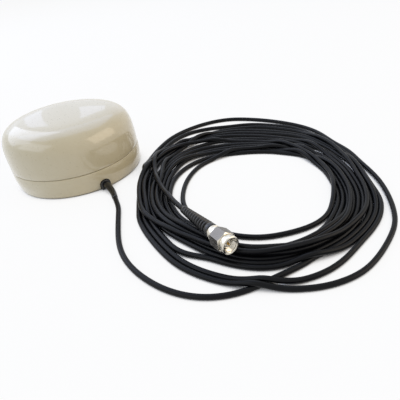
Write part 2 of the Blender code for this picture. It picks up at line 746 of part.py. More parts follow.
def make_cords(finish, cable_way):
    jacket = CORD_DIAMETER
    sleeve = [cable_way.matrix_world @ point for point in sleeve_points()]
    outward = (sleeve[-1] - sleeve[-2]).normalized()
    route = [sleeve[-1] + (CLEARANCE + run) * outward for run in (0, LEAD_STRAIGHT)]
    route += [(x, y, LEAD_Z) for x, y in LEAD_ROUTE_XY]
    reach = math.sqrt((COIL_ROUNDING + CLEARANCE + jacket / 2) ** 2 - (COIL_ROUNDING - LEAD_Z) ** 2)
    route.append((LEAD_END_X, coil_side(LEAD_END_X) + COIL_ROUNDING - reach, LEAD_Z))
    lead = smooth_route(route, 2.4 * jacket)
    tube("cord_lead", lead, [jacket] * len(lead), 2, finish)
    start = flange_face() - CLEARANCE
    route = [(start, 0, INNER_CORD_Z)]
    route += [(start - inward, 0, INNER_CORD_Z + up) for inward, up in INNER_CORD_REACH]
    route.append((start - INNER_CORD_END, 0, BOARD_Z - CLEARANCE))
    inner = smooth_route(route, 1.6 * jacket)
    tube("cord_inner", inner, [jacket] * len(inner), 2, finish, cable_way)
    end = plug_point(BOOT_END_X - CLEARANCE)
    before = plug_point(BOOT_END_X - CLEARANCE - TAIL_STRAIGHT)
    route = [(x, y, TAIL_Z) for x, y in TAIL_ROUTE_XY] + [tuple(before), tuple(end)]
    tail = smooth_route(route, 2.4 * jacket)
    tube("cord_tail", tail, [jacket] * len(tail), 2, finish)


def rounded_section(inner, outer, low, high, radius):
    """Outer side of a rounded block, from the top down, for a turned disc."""
    steps = [math.pi / 2 * step / 2 for step in range(3)]
    middle = outer - radius
    upper = [(middle + radius * math.sin(angle), high - radius + radius * math.cos(angle)) for angle in steps]
    lower = [(middle + radius * math.cos(angle), low + radius - radius * math.sin(angle)) for angle in steps]
    return [(inner, high)] + upper + lower + [(inner, low)]


def coil_side(x):
    """How far forward the coil's front side reaches at a place along X."""
    across = (x - COIL_CENTRE[0]) / COIL_HALF_X
    return COIL_CENTRE[1] - COIL_HALF_Y * math.sqrt(1 - across ** 2)


def make_coil(finish):
    """The outer shape of the coiled lead: an oval disc with rounded edges and a flared opening."""
    profile = rounded_section(0, COIL_HALF_X, 0, COIL_HEIGHT, COIL_ROUNDING)
    coil = turned("cord_coil", profile, COIL_SEGMENTS, finish, stretch=COIL_HALF_Y / COIL_HALF_X)
    coil.location = (COIL_CENTRE[0] * MM, COIL_CENTRE[1] * MM, 0)
    radius, flare = COIL_OPENING_RADIUS, COIL_ROUNDING
    steps = [math.pi / 2 * step / 2 for step in range(3)]
    upper = [(radius + flare - flare * math.sin(angle), COIL_HEIGHT - flare + flare * math.cos(angle))
             for angle in steps]
    lower = [(radius + flare - flare * math.cos(angle), flare - flare * math.sin(angle)) for angle in steps]
    spool = [(0, COIL_HEIGHT + 1), (radius + flare, COIL_HEIGHT + 1)] + upper + lower
    spool += [(radius + flare, -1), (0, -1)]
    opening = turned("coil_opening", spool, COIL_SEGMENTS, group=CUTTERS)
    opening.location = (COIL_OPENING_CENTRE[0] * MM, COIL_OPENING_CENTRE[1] * MM, 0)
    cut(coil, opening)
    return coil


def plug_frame():
    """The plug's own frame: origin at the middle of the nut's front rim, +Z forward on its axis."""
    forward = Vector((
        math.cos(PLUG_PITCH) * math.cos(PLUG_AZIMUTH), math.cos(PLUG_PITCH) * math.sin(PLUG_AZIMUTH),
        math.sin(PLUG_PITCH)
    ))
    turn = forward.to_track_quat("Z", "Y").to_matrix().to_4x4()
    rise = NUT_LENGTH * math.sin(PLUG_PITCH)
    front = Vector((*PLUG_FRONT, NUT_AXIS_Z + rise)) * MM
    return Matrix.Translation(front) @ turn


def plug_point(along):
    """A point on the plug's axis in mm, a distance behind its front rim."""
    return (plug_frame() @ Vector((0, 0, along * MM))) / MM


def make_nut(finish, frame):
    """The coupling nut: chamfered hexagon, round front collar, threaded bore and a back wall."""
    corner = NUT_CORNER_RADIUS
    collar = NUT_COLLAR_DIAMETER / 2
    face = NUT_FLATS / 2
    back, step = -NUT_LENGTH, -NUT_COLLAR_LENGTH
    hex_top = step - NUT_GROOVE_WIDTH
    hexagon = bmesh.new()
    bmesh.ops.create_cone(
        hexagon, cap_ends=True, segments=6, radius1=corner * MM, radius2=corner * MM,
        depth=2 * NUT_LENGTH * MM
    )
    bmesh.ops.translate(hexagon, vec=(0, 0, -NUT_LENGTH * MM), verts=hexagon.verts)
    nut = bmesh_object("coupling_nut", hexagon, finish, frame)
    boolean(nut, turned("nut_turning", [
        (0, hex_top), (face - 0.1, hex_top), (corner + 0.1, hex_top - NUT_CHAMFER),
        (corner + 0.1, back + NUT_CHAMFER), (face - 0.1, back), (0, back),
    ], PLUG_SEGMENTS, None, frame, CUTTERS), "INTERSECT")
    waist = collar - NUT_GROOVE_DEPTH
    join(nut, turned("nut_collar", [
        (0, 0), (collar - PLUG_EDGE, 0), (collar, -PLUG_EDGE), (collar, step), (waist, step),
        (waist, hex_top - NUT_OVERLAP), (0, hex_top - NUT_OVERLAP),
    ], PLUG_SEGMENTS, None, frame, CUTTERS))
    thread = THREAD_BORE / 2
    chamber = RING_CHAMBER / 2
    inner_back = back + NUT_BACK_WALL
    mouth = thread + THREAD_LEAD_IN
    bore = turned("nut_bore", [
        (0, 1), (mouth, 1), (mouth, 0), (thread, -THREAD_LEAD_IN), (thread, -THREAD_LENGTH),
        (chamber, -THREAD_LENGTH), (chamber, inner_back), (BODY_NECK / 2 + PLUG_GAP, inner_back),
        (BODY_NECK / 2 + PLUG_GAP, back - 1), (0, back - 1),
    ], PLUG_SEGMENTS, None, frame, CUTTERS)
    cut(nut, bore)
    return nut


def make_plug_body(finish, frame):
    """The plug's body: front sleeve, shoulder with the ring's groove, neck, collar and crimp spigot."""
    sleeve, bore = BODY_SLEEVE / 2, BODY_SLEEVE_BORE / 2
    shoulder_radius, neck = BODY_SHOULDER / 2, BODY_NECK / 2
    groove = shoulder_radius - RING_GROOVE_DEPTH
    collar, spigot = BODY_COLLAR_DIAMETER / 2, SPIGOT_DIAMETER / 2
    pin_bore = PIN_DIAMETER / 2 + 2 * PLUG_GAP
    ring_front = RING_X + RING_THICKNESS / 2 + PLUG_GAP
    ring_back = RING_X - RING_THICKNESS / 2 - PLUG_GAP
    floor = BODY_COLLAR_X - PLUG_GAP
    end = SPIGOT_END_X
    profile = [
        (bore, -BODY_SLEEVE_SETBACK), (sleeve, -BODY_SLEEVE_SETBACK), (sleeve, BODY_SHOULDER_X),
        (shoulder_radius, BODY_SHOULDER_X), (shoulder_radius, ring_front), (groove, ring_front),
        (groove, ring_back), (neck, ring_back), (neck, BODY_COLLAR_X), (collar - PLUG_EDGE, BODY_COLLAR_X),
        (collar, BODY_COLLAR_X - PLUG_EDGE), (collar, SPIGOT_X + PLUG_EDGE),
        (collar - PLUG_EDGE, SPIGOT_X), (spigot, SPIGOT_X),
        (spigot, end), (pin_bore, end), (pin_bore, floor), (bore, floor),
    ]
    return turned("plug_body", profile, PLUG_SEGMENTS, finish, frame, closed=True)


def make_plug_inside(frame, white, gold, steel, rubber):
    """Insulator, contact pin, retaining ring and gasket of the plug."""
    face = -BODY_SLEEVE_SETBACK - INSULATOR_SETBACK
    outer = BODY_SLEEVE_BORE / 2 - PLUG_GAP
    pin = PIN_DIAMETER / 2
    hole = pin + PLUG_GAP
    turned("plug_insulator", [
        (hole, face), (outer, face), (outer, BODY_COLLAR_X), (hole, BODY_COLLAR_X),
    ], 24, white, frame, closed=True)
    pin_end = SPIGOT_END_X + PIN_SHORT
    turned("plug_pin", [
        (0, -PIN_SETBACK), (0.5 * pin, -PIN_SETBACK), (pin, -PIN_SETBACK - PIN_TIP),
        (pin, pin_end), (0, pin_end),
    ], 16, gold, frame)
    ring_inner = BODY_SHOULDER / 2 - RING_GROOVE_DEPTH + PLUG_GAP
    ring_outer = RING_CHAMBER / 2 - PLUG_GAP
    high, low = RING_X + RING_THICKNESS / 2, RING_X - RING_THICKNESS / 2
    ring = turned("retaining_ring", [
        (ring_inner, high), (ring_outer, high), (ring_outer, low), (ring_inner, low),
    ], 24, steel, frame, closed=True)
    split = box("ring_split", (ring_outer, RING_SPLIT, 3 * RING_THICKNESS), (-ring_outer, 0, RING_X),
                parent=frame, group=CUTTERS)
    cut(ring, split)
    inner = BODY_SLEEVE / 2 + PLUG_GAP
    low = BODY_SHOULDER_X + PLUG_GAP
    high = low + GASKET_THICKNESS
    turned("plug_gasket", [(inner, high), (ring_outer, high), (ring_outer, low), (inner, low)],
           24, rubber, frame, closed=True)


def make_ferrule(finish, frame):
    inner = SPIGOT_DIAMETER / 2 + CLEARANCE
    outer = FERRULE_DIAMETER / 2
    section = [(inner, FERRULE_X), (outer, FERRULE_X), (outer, FERRULE_END_X), (inner, FERRULE_END_X)]
    return turned("crimp_ferrule", section, 24, finish, frame, closed=True)


def make_boot(finish, frame):
    """The moulded boot: a smooth collar by the plug, then rings that shrink towards the cable."""
    thick, thin = BOOT_THICK / 2, BOOT_THIN / 2
    start = BOOT_COLLAR_END_X
    ribbed = start - BOOT_END_X
    pitch = ribbed / (BOOT_RIBS + 0.5)
    profile = [(0, BOOT_X), (thick - 0.4, BOOT_X), (thick, BOOT_X - 0.4), (thick, start)]
    for rib in range(BOOT_RIBS):
        top = start - rib * pitch
        share = (rib + 0.5) * pitch / ribbed
        radius = thick + (thin - thick) * share
        depth = BOOT_GROOVE_DEPTH * (1 - BOOT_GROOVE_FADE * share)
        profile += [
            (radius - depth, top - 0.2 * pitch), (radius, top - 0.48 * pitch), (radius, top - 0.95 * pitch),
        ]
    profile += [(thin, BOOT_END_X + 0.3), (thin - 0.2, BOOT_END_X), (0, BOOT_END_X)]
    boot = turned("plug_boot", profile, 16, finish, frame)
    radius = FERRULE_DIAMETER / 2 + CLEARANCE
    cut(boot, cylinder("boot_bore", radius, BOOT_BORE_END_X, BOOT_X + 1, (0, 0), 16, None, frame, CUTTERS))
    return boot


def build():
    ivory = material("ivory_moulded_plastic", IVORY, 0.3)
    black_pvc = material("black_cable_jacket", BLACK, 0.45)
    black_rubber = material("black_rubber", (0.02, 0.02, 0.02), 0.75)
    seal_rubber = material("seal_rubber", (0.05, 0.05, 0.055), 0.6)
    grommet_pvc = material("grommet_pvc", BLACK, 0.5)
    boot_pvc = material("boot_pvc", BLACK, 0.5)
    nickel = material("nickel_plate", NICKEL, 0.2, 1.0)
    steel = material("zinc_plated_steel", (0.55, 0.55, 0.56), 0.3, 1.0)
    magnet = material("magnet_nickel", (0.5, 0.5, 0.5), 0.3, 1.0)
    laminate = material("board_laminate", (0.01, 0.12, 0.05), 0.5)
    ceramic = material("patch_ceramic", (0.55, 0.42, 0.3), 0.5)
    adhesive = material("adhesive_tape", (0.8, 0.8, 0.78), 0.8)
    tin = material("tinned_steel", (0.7, 0.7, 0.7), 0.35, 1.0)
    chip = material("moulded_chip", (0.02, 0.02, 0.02), 0.5)
    gold = material("gold_plate", (0.8, 0.6, 0.25), 0.25, 1.0)
    white = material("insulator_plastic", (0.85, 0.85, 0.83), 0.5)

    cable_way = add_empty("cable_way", Matrix.Rotation(EXIT_AZIMUTH, 4, "Z"))
    frame = add_empty("plug_axis", plug_frame())
    bpy.context.view_layer.update()

    make_radome(ivory)
    make_base(ivory, cable_way)
    make_seal(seal_rubber)
    make_closing_screws(steel)
    make_foot(black_rubber)
    make_magnets(magnet)
    make_board(laminate)
    make_board_screws(steel)
    make_patch(ceramic, adhesive)
    make_feed_pin(gold)
    make_shield(tin, chip)
    make_grommet(grommet_pvc, cable_way)
    make_cords(black_pvc, cable_way)
    make_coil(black_pvc)
    make_nut(nickel, frame)
    make_plug_body(nickel, frame)
    make_plug_inside(frame, white, gold, steel, seal_rubber)
    make_ferrule(nickel, frame)
    make_boot(boot_pvc, frame)


build()
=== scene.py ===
# %% [markdown]
# # A puck antenna and its coiled lead
# The object is a small receiving antenna for navigation signals. An ivory shell stands on a flat
# base, and a thin black coaxial lead runs from the base wall to a loose coil and ends in a screw-on
# plug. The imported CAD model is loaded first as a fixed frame. Every visible piece is then modelled
# again with finer shapes, and each gets a finish made of nodes.

import json
import math

import bmesh
import bpy
import numpy as np
from mathutils import Matrix, Vector


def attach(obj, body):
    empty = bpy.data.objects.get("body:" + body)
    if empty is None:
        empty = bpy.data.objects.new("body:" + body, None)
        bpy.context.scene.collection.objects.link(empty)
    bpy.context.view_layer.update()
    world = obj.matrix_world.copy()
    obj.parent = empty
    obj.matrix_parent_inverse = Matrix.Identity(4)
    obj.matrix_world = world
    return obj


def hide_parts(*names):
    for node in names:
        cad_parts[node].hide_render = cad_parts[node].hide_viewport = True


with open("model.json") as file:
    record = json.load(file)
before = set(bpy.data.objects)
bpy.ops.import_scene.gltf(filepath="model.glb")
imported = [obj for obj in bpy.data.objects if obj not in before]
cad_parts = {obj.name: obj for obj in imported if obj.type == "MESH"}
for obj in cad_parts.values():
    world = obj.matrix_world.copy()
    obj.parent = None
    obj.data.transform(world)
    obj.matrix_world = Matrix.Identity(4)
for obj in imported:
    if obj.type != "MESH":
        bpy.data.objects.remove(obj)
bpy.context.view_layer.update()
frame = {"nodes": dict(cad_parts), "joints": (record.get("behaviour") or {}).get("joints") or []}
MM = 0.001

# %% [markdown]
# ## The camera
# The photograph was taken with a plain lens from a little above the floor. A camera was fitted to the
# outline of the shell and to the thickness of the lead, near and far. It looks 32.5 degrees down
# and is rolled by almost 5 degrees. The picture is cropped off the lens's middle, so the sensor is shifted.

# %% Place the camera
CAMERA_PLACE = Vector((0.125203, -0.247851, 0.127610))
LOOK_DOWN = math.radians(32.5)
ROLL = math.radians(-4.92)

camera_data = bpy.data.cameras.new("photo_camera")
camera_data.sensor_width = 36.0
camera_data.lens = 36.0
camera_data.shift_x = -0.165
camera_data.shift_y = -0.0275
camera_data.clip_start = 0.01
camera = bpy.data.objects.new("photo_camera", camera_data)
camera.matrix_world = (
    Matrix.Translation(CAMERA_PLACE)
    @ Matrix.Rotation(math.pi / 2 - LOOK_DOWN, 4, "X")
    @ Matrix.Rotation(ROLL, 4, "Z")
)
bpy.context.scene.collection.objects.link(camera)
bpy.context.scene.camera = camera
bpy.context.scene.view_settings.view_transform = "Standard"
print("camera stands", round(CAMERA_PLACE.length, 3), "m from the antenna's foot")

# %% [markdown]
# ## The lead's facts
# A coaxial lead has a copper core, white foam, a braid and a satin black jacket 2.8 mm thick. It is
# springy, so it lies in wide turns and never in tight bends. The photograph shows all of it: 13 turns
# round an opening 90 mm wide. The uncoiled stretches follow the same points as the CAD model.
# The coil is described by lanes: at any angle round the middle, a turn lies at a share between
# the heap's inner edge (0) and its outer edge (1). Where a strand lies by itself, a list of degrees
# and radii takes the lane's place.

# %% Write down the route
LEAD_DIAMETER = 0.0028
COIL_MIDDLE = np.array([0.115, -0.046])
NODE_STEP = 0.002
TAIL_HEIGHT = 0.0079
BOOT_STOP = -47.0  # mm along the plug's axis from the nut's front rim

PLUG_FRONT = Vector(frame["joints"][0]["pos_m"])
PLUG_AXIS = Vector(frame["joints"][0]["axis"]).normalized()
BOOT_END = PLUG_FRONT + BOOT_STOP * MM * PLUG_AXIS

SLEEVE_END = np.array([0.0355, -0.0462, 0.0019])
SLEEVE_WAY = np.array([0.422, -0.906, -0.05])
LEAD_ROUTE = [
    (0.0400, -0.0565), (0.0424, -0.0660), (0.0452, -0.0765), (0.0482, -0.0868), (0.0524, -0.0966),
    (0.0580, -0.1053), (0.0650, -0.1131), (0.0730, -0.1199), (0.0810, -0.1249), (0.0896, -0.1284),
    (0.0974, -0.1298), (0.1055, -0.1296), (0.1135, -0.1276), (0.1215, -0.1240), (0.1300, -0.1196),
    (0.1385, -0.1154),
]
TAIL_ROUTE = [
    (0.0660, 0.0235), (0.0580, 0.0150), (0.0530, 0.0030), (0.0518, -0.0070), (0.0530, -0.0140),
    (0.0560, -0.0250), (0.0608, -0.0380), (0.0664, -0.0494), (0.0730, -0.0614),
]
TAIL_END_HEIGHTS = (0.0064, 0.0066, 0.0072)

# degrees round the middle, inner edge, outer edge
HEAP_EDGES = [
    (0, .0493, .0697), (22, .0476, .0722), (45, .0472, .0800), (57, .0460, .0882), (68, .0449, .0928),
    (84, .0446, .1006), (97, .0450, .1080), (105, .0457, .1090), (112, .0466, .1080), (123, .0486, .1038),
    (132, .0497, .0965), (143, .0497, .0876), (151, .0493, .0802), (162, .0482, .0725), (174, .0466, .0668),
    (183, .0462, .0640), (200, .0460, .0610), (215, .0457, .0592), (226, .0450, .0585), (238, .0452, .0589),
    (246, .0474, .0598), (256, .0522, .0615), (265, .0560, .0645), (273, .0582, .0672), (282, .0592, .0698),
    (296, .0598, .0718), (310, .0585, .0732), (324, .0558, .0750), (338, .0530, .0742), (347, .0516, .0722),
    (360, .0493, .0697),
]

# stretches that leave the heap: degrees, radius
UNDER_PLUG = [
    (184, .0612), (193, .0602), (202, .0601), (212, .0609), (218, .0615), (224, .0625), (230, .0640),
    (235, .0657), (240, .0675), (245, .0691), (250, .0706), (254, .0718), (258, .0730), (264, .0750),
    (271, .0774), (281, .0806), (287, .0818), (293, .0820), (299, .0813), (305, .0798),
    (313, .0779), (322, .0772), (331, .0760), (338, .0745), (346, .0727), (354, .0709), (362, .0697),
    (370, .0692),
]
WIDE_LOOP = [
    (184, .0640), (193, .0630), (202, .0630), (212, .0638), (218, .0644), (224, .0654), (230, .0669),
    (235, .0686), (240, .0704), (245, .0720), (250, .0735), (254, .0747), (258, .0759), (264, .0779),
    (271, .0803), (281, .0847), (287, .0874), (293, .0897), (302, .0911), (310, .0897),
    (316, .0883), (322, .0871), (328, .0860), (333, .0841), (341, .0812), (350, .0783), (357, .0766),
    (367, .0744), (376, .0730), (384, .0724),
]
BAND_RIM = [
    (200, .0598), (211, .0603), (223, .0610), (232, .0625), (238, .0631), (243, .0631), (247, .0625),
    (251, .0618), (256, .0621), (261, .0637), (265, .0652), (273, .0680), (282, .0702), (296, .0724),
    (310, .0742), (324, .0754), (336, .0750),
]
BACK_SECOND = [
    (45, .0750), (52, .0782), (57, .0802), (62, .0842), (68, .0870), (79, .0898), (84, .0914), (89, .0927),
    (94, .0930), (99, .0930), (104, .0946), (108, .0962), (113, .0968), (117, .0972), (121, .0960),
    (127, .0925), (134, .0868), (143, .0812), (151, .0760), (162, .0695), (174, .0640),
]
BACK_TOP = [
    (78, .0850), (84, .0862), (90, .0868), (96, .0872), (102, .0870), (108, .0867), (114, .0860),
    (118, .0857),
]
INNER_STRAND = [
    (118, .0460), (127, .0458), (139, .0442), (151, .0420), (164, .0403), (176, .0391), (189, .0390),
    (203, .0393), (214, .0392), (225, .0394), (237, .0406), (247, .0425), (255, .0440), (264, .0455),
    (273, .0472), (282, .0487), (294, .0501), (303, .0518), (313, .0532), (324, .0538), (336, .0528),
]

# each turn's lanes at the right, back, left and front, in the order in which they were laid down
TURNS = [
    (.90, .54, .75, .80), (.62, .36, .50, .55), (.38, .16, .25, .30), (.14, .01, .05, .08),
    (.05, .10, .30, .20), (.28, .22, .55, .45), (.52, .46, 1.0, WIDE_LOOP), (1.0, 1.0, .84, UNDER_PLUG),
    (1.0, BACK_SECOND, .75, BAND_RIM), (.90, .62, .40, .35), (.30, .05, INNER_STRAND, None),
    (.02, .30, 1.0, .50), (.80, BACK_TOP, None, None),
]
LANE_ANGLES = (360, 450, 545, 620)
COIL_START, COIL_STOP = 296, 360 * len(TURNS) + 118
LANE_STEP = 9  # degrees between the points of a turn
LOOSE_ROOM = 16  # degrees kept free of lane points beside a loose stretch
RISE = 3.1 * MM  # from one turn to the next, before the coil drops
print(len(TURNS), "turns to lay")

# %% [markdown]
# ## Laying the turns
# Each turn starts a little more than one lead's thickness above the last, so the turns form a loose
# spring over the heap's place. The points of one turn come from its lanes by a loop, one point every
# 9 degrees. A smooth curve then runs through all of them and is cut into steps of 2 mm.

# %% Make the spring that will be dropped
def lane_radius(degrees, share):
    """Radius of a lane of the heap at an angle."""
    table = np.array(HEAP_EDGES)
    inner = np.interp(degrees % 360, table[:, 0], table[:, 1])
    outer = np.interp(degrees % 360, table[:, 0], table[:, 2])
    return inner + (outer - inner) * share


def even_steps(points, step):
    """The same line with its points a fixed step apart."""
    run = np.concatenate([[0], np.cumsum(np.linalg.norm(np.diff(points, axis=0), axis=1))])
    at = np.linspace(0, run[-1], int(round(run[-1] / step)) + 1)
    return np.stack([np.interp(at, run, column) for column in points.T], 1)


def smooth_line(points):
    """A smooth curve through all points."""
    points = np.asarray(points, float)
    padded = np.vstack([2 * points[0] - points[1], points, 2 * points[-1] - points[-2]])
    t = np.linspace(0, 1, 24, endpoint=False)[:, None]
    line = []
    for a, b, c, d in zip(padded, padded[1:], padded[2:], padded[3:]):
        line.append(0.5 * (2 * b + (c - a) * t + (2 * a - 5 * b + 4 * c - d) * t ** 2
                           + (3 * b - 3 * c + d - a) * t ** 3))
    return np.vstack(line + [points[-1:]])


def eased(low, high, share):
    """A value that leaves low and reaches high gently."""
    share = min(1, max(0, share))
    return low + (high - low) * share * share * (3 - 2 * share)


def coil_points():
    """Points of all turns: degrees, radius and height."""
    shares, loose = [], []
    for index, lanes in enumerate(TURNS):
        for angle, lane in zip(LANE_ANGLES, lanes):
            if isinstance(lane, list):
                loose.append([(360 * index + 360 + degrees, radius) for degrees, radius in lane])
            elif lane is not None:
                shares.append((360 * index + angle, lane))
    knots = sorted(shares)
    points = [point for stretch in loose for point in stretch]
    for degrees in range(COIL_START, COIL_STOP, LANE_STEP):
        if any(stretch[0][0] - LOOSE_ROOM < degrees < stretch[-1][0] + LOOSE_ROOM for stretch in loose):
            continue
        before = [knot for knot in knots if knot[0] <= degrees] or knots[:1]
        after = [knot for knot in knots if knot[0] > degrees] or knots[-1:]
        gap = max(1, after[0][0] - before[-1][0])
        share = eased(before[-1][1], after[0][1], (degrees - before[-1][0]) / gap)
        points.append((degrees, lane_radius(degrees, share)))
    return [(degrees, radius, RISE * (degrees - COIL_START) / 360) for degrees, radius in sorted(points)]


def spring_line():
    """The whole lead before it is dropped."""
    floor = LEAD_DIAMETER / 2
    start = [SLEEVE_END + out * MM * SLEEVE_WAY for out in (0.3, 3.3)]
    start += [np.array([x, y, floor + 0.05 * MM]) for x, y in LEAD_ROUTE]
    turns = []
    for degrees, radius, height in coil_points():
        toward = np.array([math.cos(math.radians(degrees)), math.sin(math.radians(degrees))])
        turns.append(np.array([*(COIL_MIDDLE + radius * toward), floor + height]))
    top = turns[-1][2]
    lift = top - TAIL_HEIGHT
    heights = [top] * (len(TAIL_ROUTE) - 3) + [lift + height for height in TAIL_END_HEIGHTS]
    end = [np.array([x, y, height]) for (x, y), height in zip(TAIL_ROUTE, heights)]
    end += [np.array(BOOT_END - back * MM * PLUG_AXIS) + [0, 0, lift] for back in (4.3, 0.3)]
    return even_steps(smooth_line(start + turns + end), NODE_STEP), lift


spring, plug_lift = spring_line()
print(len(spring), "points,", round(len(spring) * NODE_STEP, 2), "m of lead")

# %% [markdown]
# ## Dropping the coil
# A heap of springy cable finds its own shape, so it is worked out and not drawn. In small steps all
# points sink, points of different turns that come closer than one thickness push each other
# apart, the floor holds the lowest ones, and the lead's stiffness irons out short wiggles. The
# pushes act square to the strand, because a jacket that slides along itself would open a gap that
# another strand could slip through. The stiffness is a low-pass filter on how far the lead has
# moved from its spring shape, and it is halved at the end, when the strands lie down on each
# other. The two ends are held in the sleeve and in the boot, and the plug presses the turns down.

# %% Let the coil settle
def low_pass(values, length):
    """Irons out all wiggles shorter than about six times a length."""
    count = len(values)
    slope = np.linspace(0, 1, count)[:, None]
    base = values[0] + (values[-1] - values[0]) * slope
    odd = np.vstack([values - base, -(values - base)[::-1]])
    waves = np.fft.rfftfreq(2 * count, d=NODE_STEP) * 2 * np.pi
    keep = 1 / (1 + (length * waves) ** 4)
    return base + np.fft.irfft(np.fft.rfft(odd, axis=0) * keep[:, None], n=2 * count, axis=0)[:count]


def close_pairs(points, reach):
    """Pairs of points of the lead that lie within reach and aren't next to each other."""
    flat = (points / MM).astype(np.float32)
    square = (flat ** 2).sum(1)
    apart = square[:, None] + square[None] - 2 * flat @ flat.T
    first, second = np.nonzero(apart < (reach / MM) ** 2)
    keep = second - first > 5
    return first[keep], second[keep]


# mm along the plug's axis, radius in mm
PLUG_OUTLINE = [(BOOT_STOP, 2.0), (-22.0, 3.6), (-16.0, 4.0), (-12.6, 4.9), (-4.2, 4.9), (0.0, 4.5)]


def press_under_plug(points):
    """Presses the points below the plug down to its underside."""
    axis, front = np.array(PLUG_AXIS), np.array(PLUG_FRONT)
    level = np.array([axis[0], axis[1], 0]) / math.hypot(axis[0], axis[1])
    along = (points - front) @ level
    aside = (points[:, 1] - front[1]) * level[0] - (points[:, 0] - front[0]) * level[1]
    stations = np.array(PLUG_OUTLINE)
    radius = np.interp(along / MM, stations[:, 0], stations[:, 1]) * MM + LEAD_DIAMETER / 2
    under = (along < 0) & (along > BOOT_STOP * MM) & (np.abs(aside) < radius)
    height = front[2] + along * axis[2] - np.sqrt(np.maximum(radius ** 2 - aside ** 2, 0))
    points[under, 2] = np.minimum(points[under, 2], height[under])
    return points


HELD_FIRST, HELD_LAST = 4, 13  # points in the sleeve, and those that lead straight into the boot
PAIRS_EVERY, PAIRS_REACH = 8, 1.6 * MM  # how often and how far neighbours are looked for
PUSH_ROUNDS = 5


def settle(spring, lift, steps=1000, fall=0.05 * MM, guide=0.02, stiffness=6.5 * MM, touch=2.86 * MM):
    """The lead after it has dropped onto the floor and onto itself, its plug let down with it."""
    lead = spring.copy()
    held = np.zeros(len(lead), bool)
    held[:HELD_FIRST] = held[-HELD_LAST:] = True
    for step in range(steps):
        place = spring[held]
        place[HELD_FIRST:, 2] -= min(lift, fall * (step + 1))
        if step % PAIRS_EVERY == 0:
            first, second = close_pairs(lead, touch + PAIRS_REACH)
        lead[:, 2] -= fall * (0.4 if step > 0.8 * steps else 1)
        if step == 0.9 * steps:
            stiffness *= 0.5
        lead[:, :2] += guide * (spring[:, :2] - lead[:, :2])
        moved = lead - spring
        moved[:, 2] = lead[:, 2]
        lead += 0.2 * (low_pass(moved, stiffness) - moved)
        along = np.gradient(lead, axis=0)
        along /= np.linalg.norm(along, axis=1)[:, None]
        for _ in range(PUSH_ROUNDS):
            between = lead[second] - lead[first]
            length = np.maximum(np.linalg.norm(between, axis=1), 1e-7)
            hit = length < touch
            push = (0.5 * (touch - length[hit]) / length[hit])[:, None] * between[hit]
            shift, count = np.zeros_like(lead), np.zeros(len(lead))
            for index, sign in ((second, 1), (first, -1)):
                np.add.at(shift, index[hit], sign * push)
                np.add.at(count, index[hit], 1)
            shift /= np.maximum(1, count * 0.5)[:, None]
            lead += shift - (shift * along).sum(1)[:, None] * along
            if fall * step > lift:
                lead = press_under_plug(lead)
            lead[:, 2] = np.maximum(lead[:, 2], LEAD_DIAMETER / 2 + 0.02 * MM)
            lead[held] = place
    lead = low_pass(lead, 2 * MM)
    lead[held] = place
    return even_steps(lead, NODE_STEP)


smooth_spring = low_pass(spring, 4 * MM)
smooth_spring[:8], smooth_spring[-8:] = spring[:8], spring[-8:]
lead_line = settle(smooth_spring, plug_lift)

# %% Turn the line into a round lead
lead_curve = bpy.data.curves.new("coaxial_lead", "CURVE")
lead_curve.dimensions = "3D"
lead_curve.bevel_depth = LEAD_DIAMETER / 2
lead_curve.bevel_resolution = 4
lead_curve.use_fill_caps = True
lead_spline = lead_curve.splines.new("POLY")
lead_spline.points.add(len(lead_line) - 1)
lead_spline.points.foreach_set("co", np.column_stack([lead_line, np.ones(len(lead_line))]).ravel())
lead_spline.use_smooth = True
lead = bpy.data.objects.new("coaxial_lead", lead_curve)
bpy.context.scene.collection.objects.link(lead)
print(lead.name, "has", len(lead_spline.points), "points")

# %% [markdown]
# ## Floor, backdrop and light
# The object stands on a plain white sheet. The world shows white to the camera and in reflections, and
# gives a softer grey light to everything else, so that colours render as they are written. The
# floor glows white to the camera where it lies open. Where ambient occlusion finds it covered, as
# under the lead, it is plain lit paper, which keeps the shadow in the coil's gaps. Two big cool
# lamps stand behind and overhead, as a bright wall and ceiling would. The shell mirrors three more:
# two small windows on its top and a low one on its left shoulder. A cool lamp fills the left side
# and a warm one the right, because the photograph's ivory turns yellow towards the right.

# %% Helpers for colours and nodes
def hex_colour(code):
    """An sRGB hex colour as linear red, green, blue and alpha."""
    parts = [int(code[index:index + 2], 16) / 255 for index in (1, 3, 5)]
    linear = [part / 12.92 if part <= 0.04045 else ((part + 0.055) / 1.055) ** 2.4 for part in parts]
    return (*linear, 1.0)


def add_node(tree, kind, settings=None, inputs=None):
    """Adds a node. An input is a constant, or another node's output that is linked to it."""
    node = tree.nodes.new(kind)
    for name, value in (settings or {}).items():
        setattr(node, name, value)
    for name, value in (inputs or {}).items():
        if isinstance(value, bpy.types.NodeSocket):
            tree.links.new(value, node.inputs[name])
        else:
            node.inputs[name].default_value = value
    return node


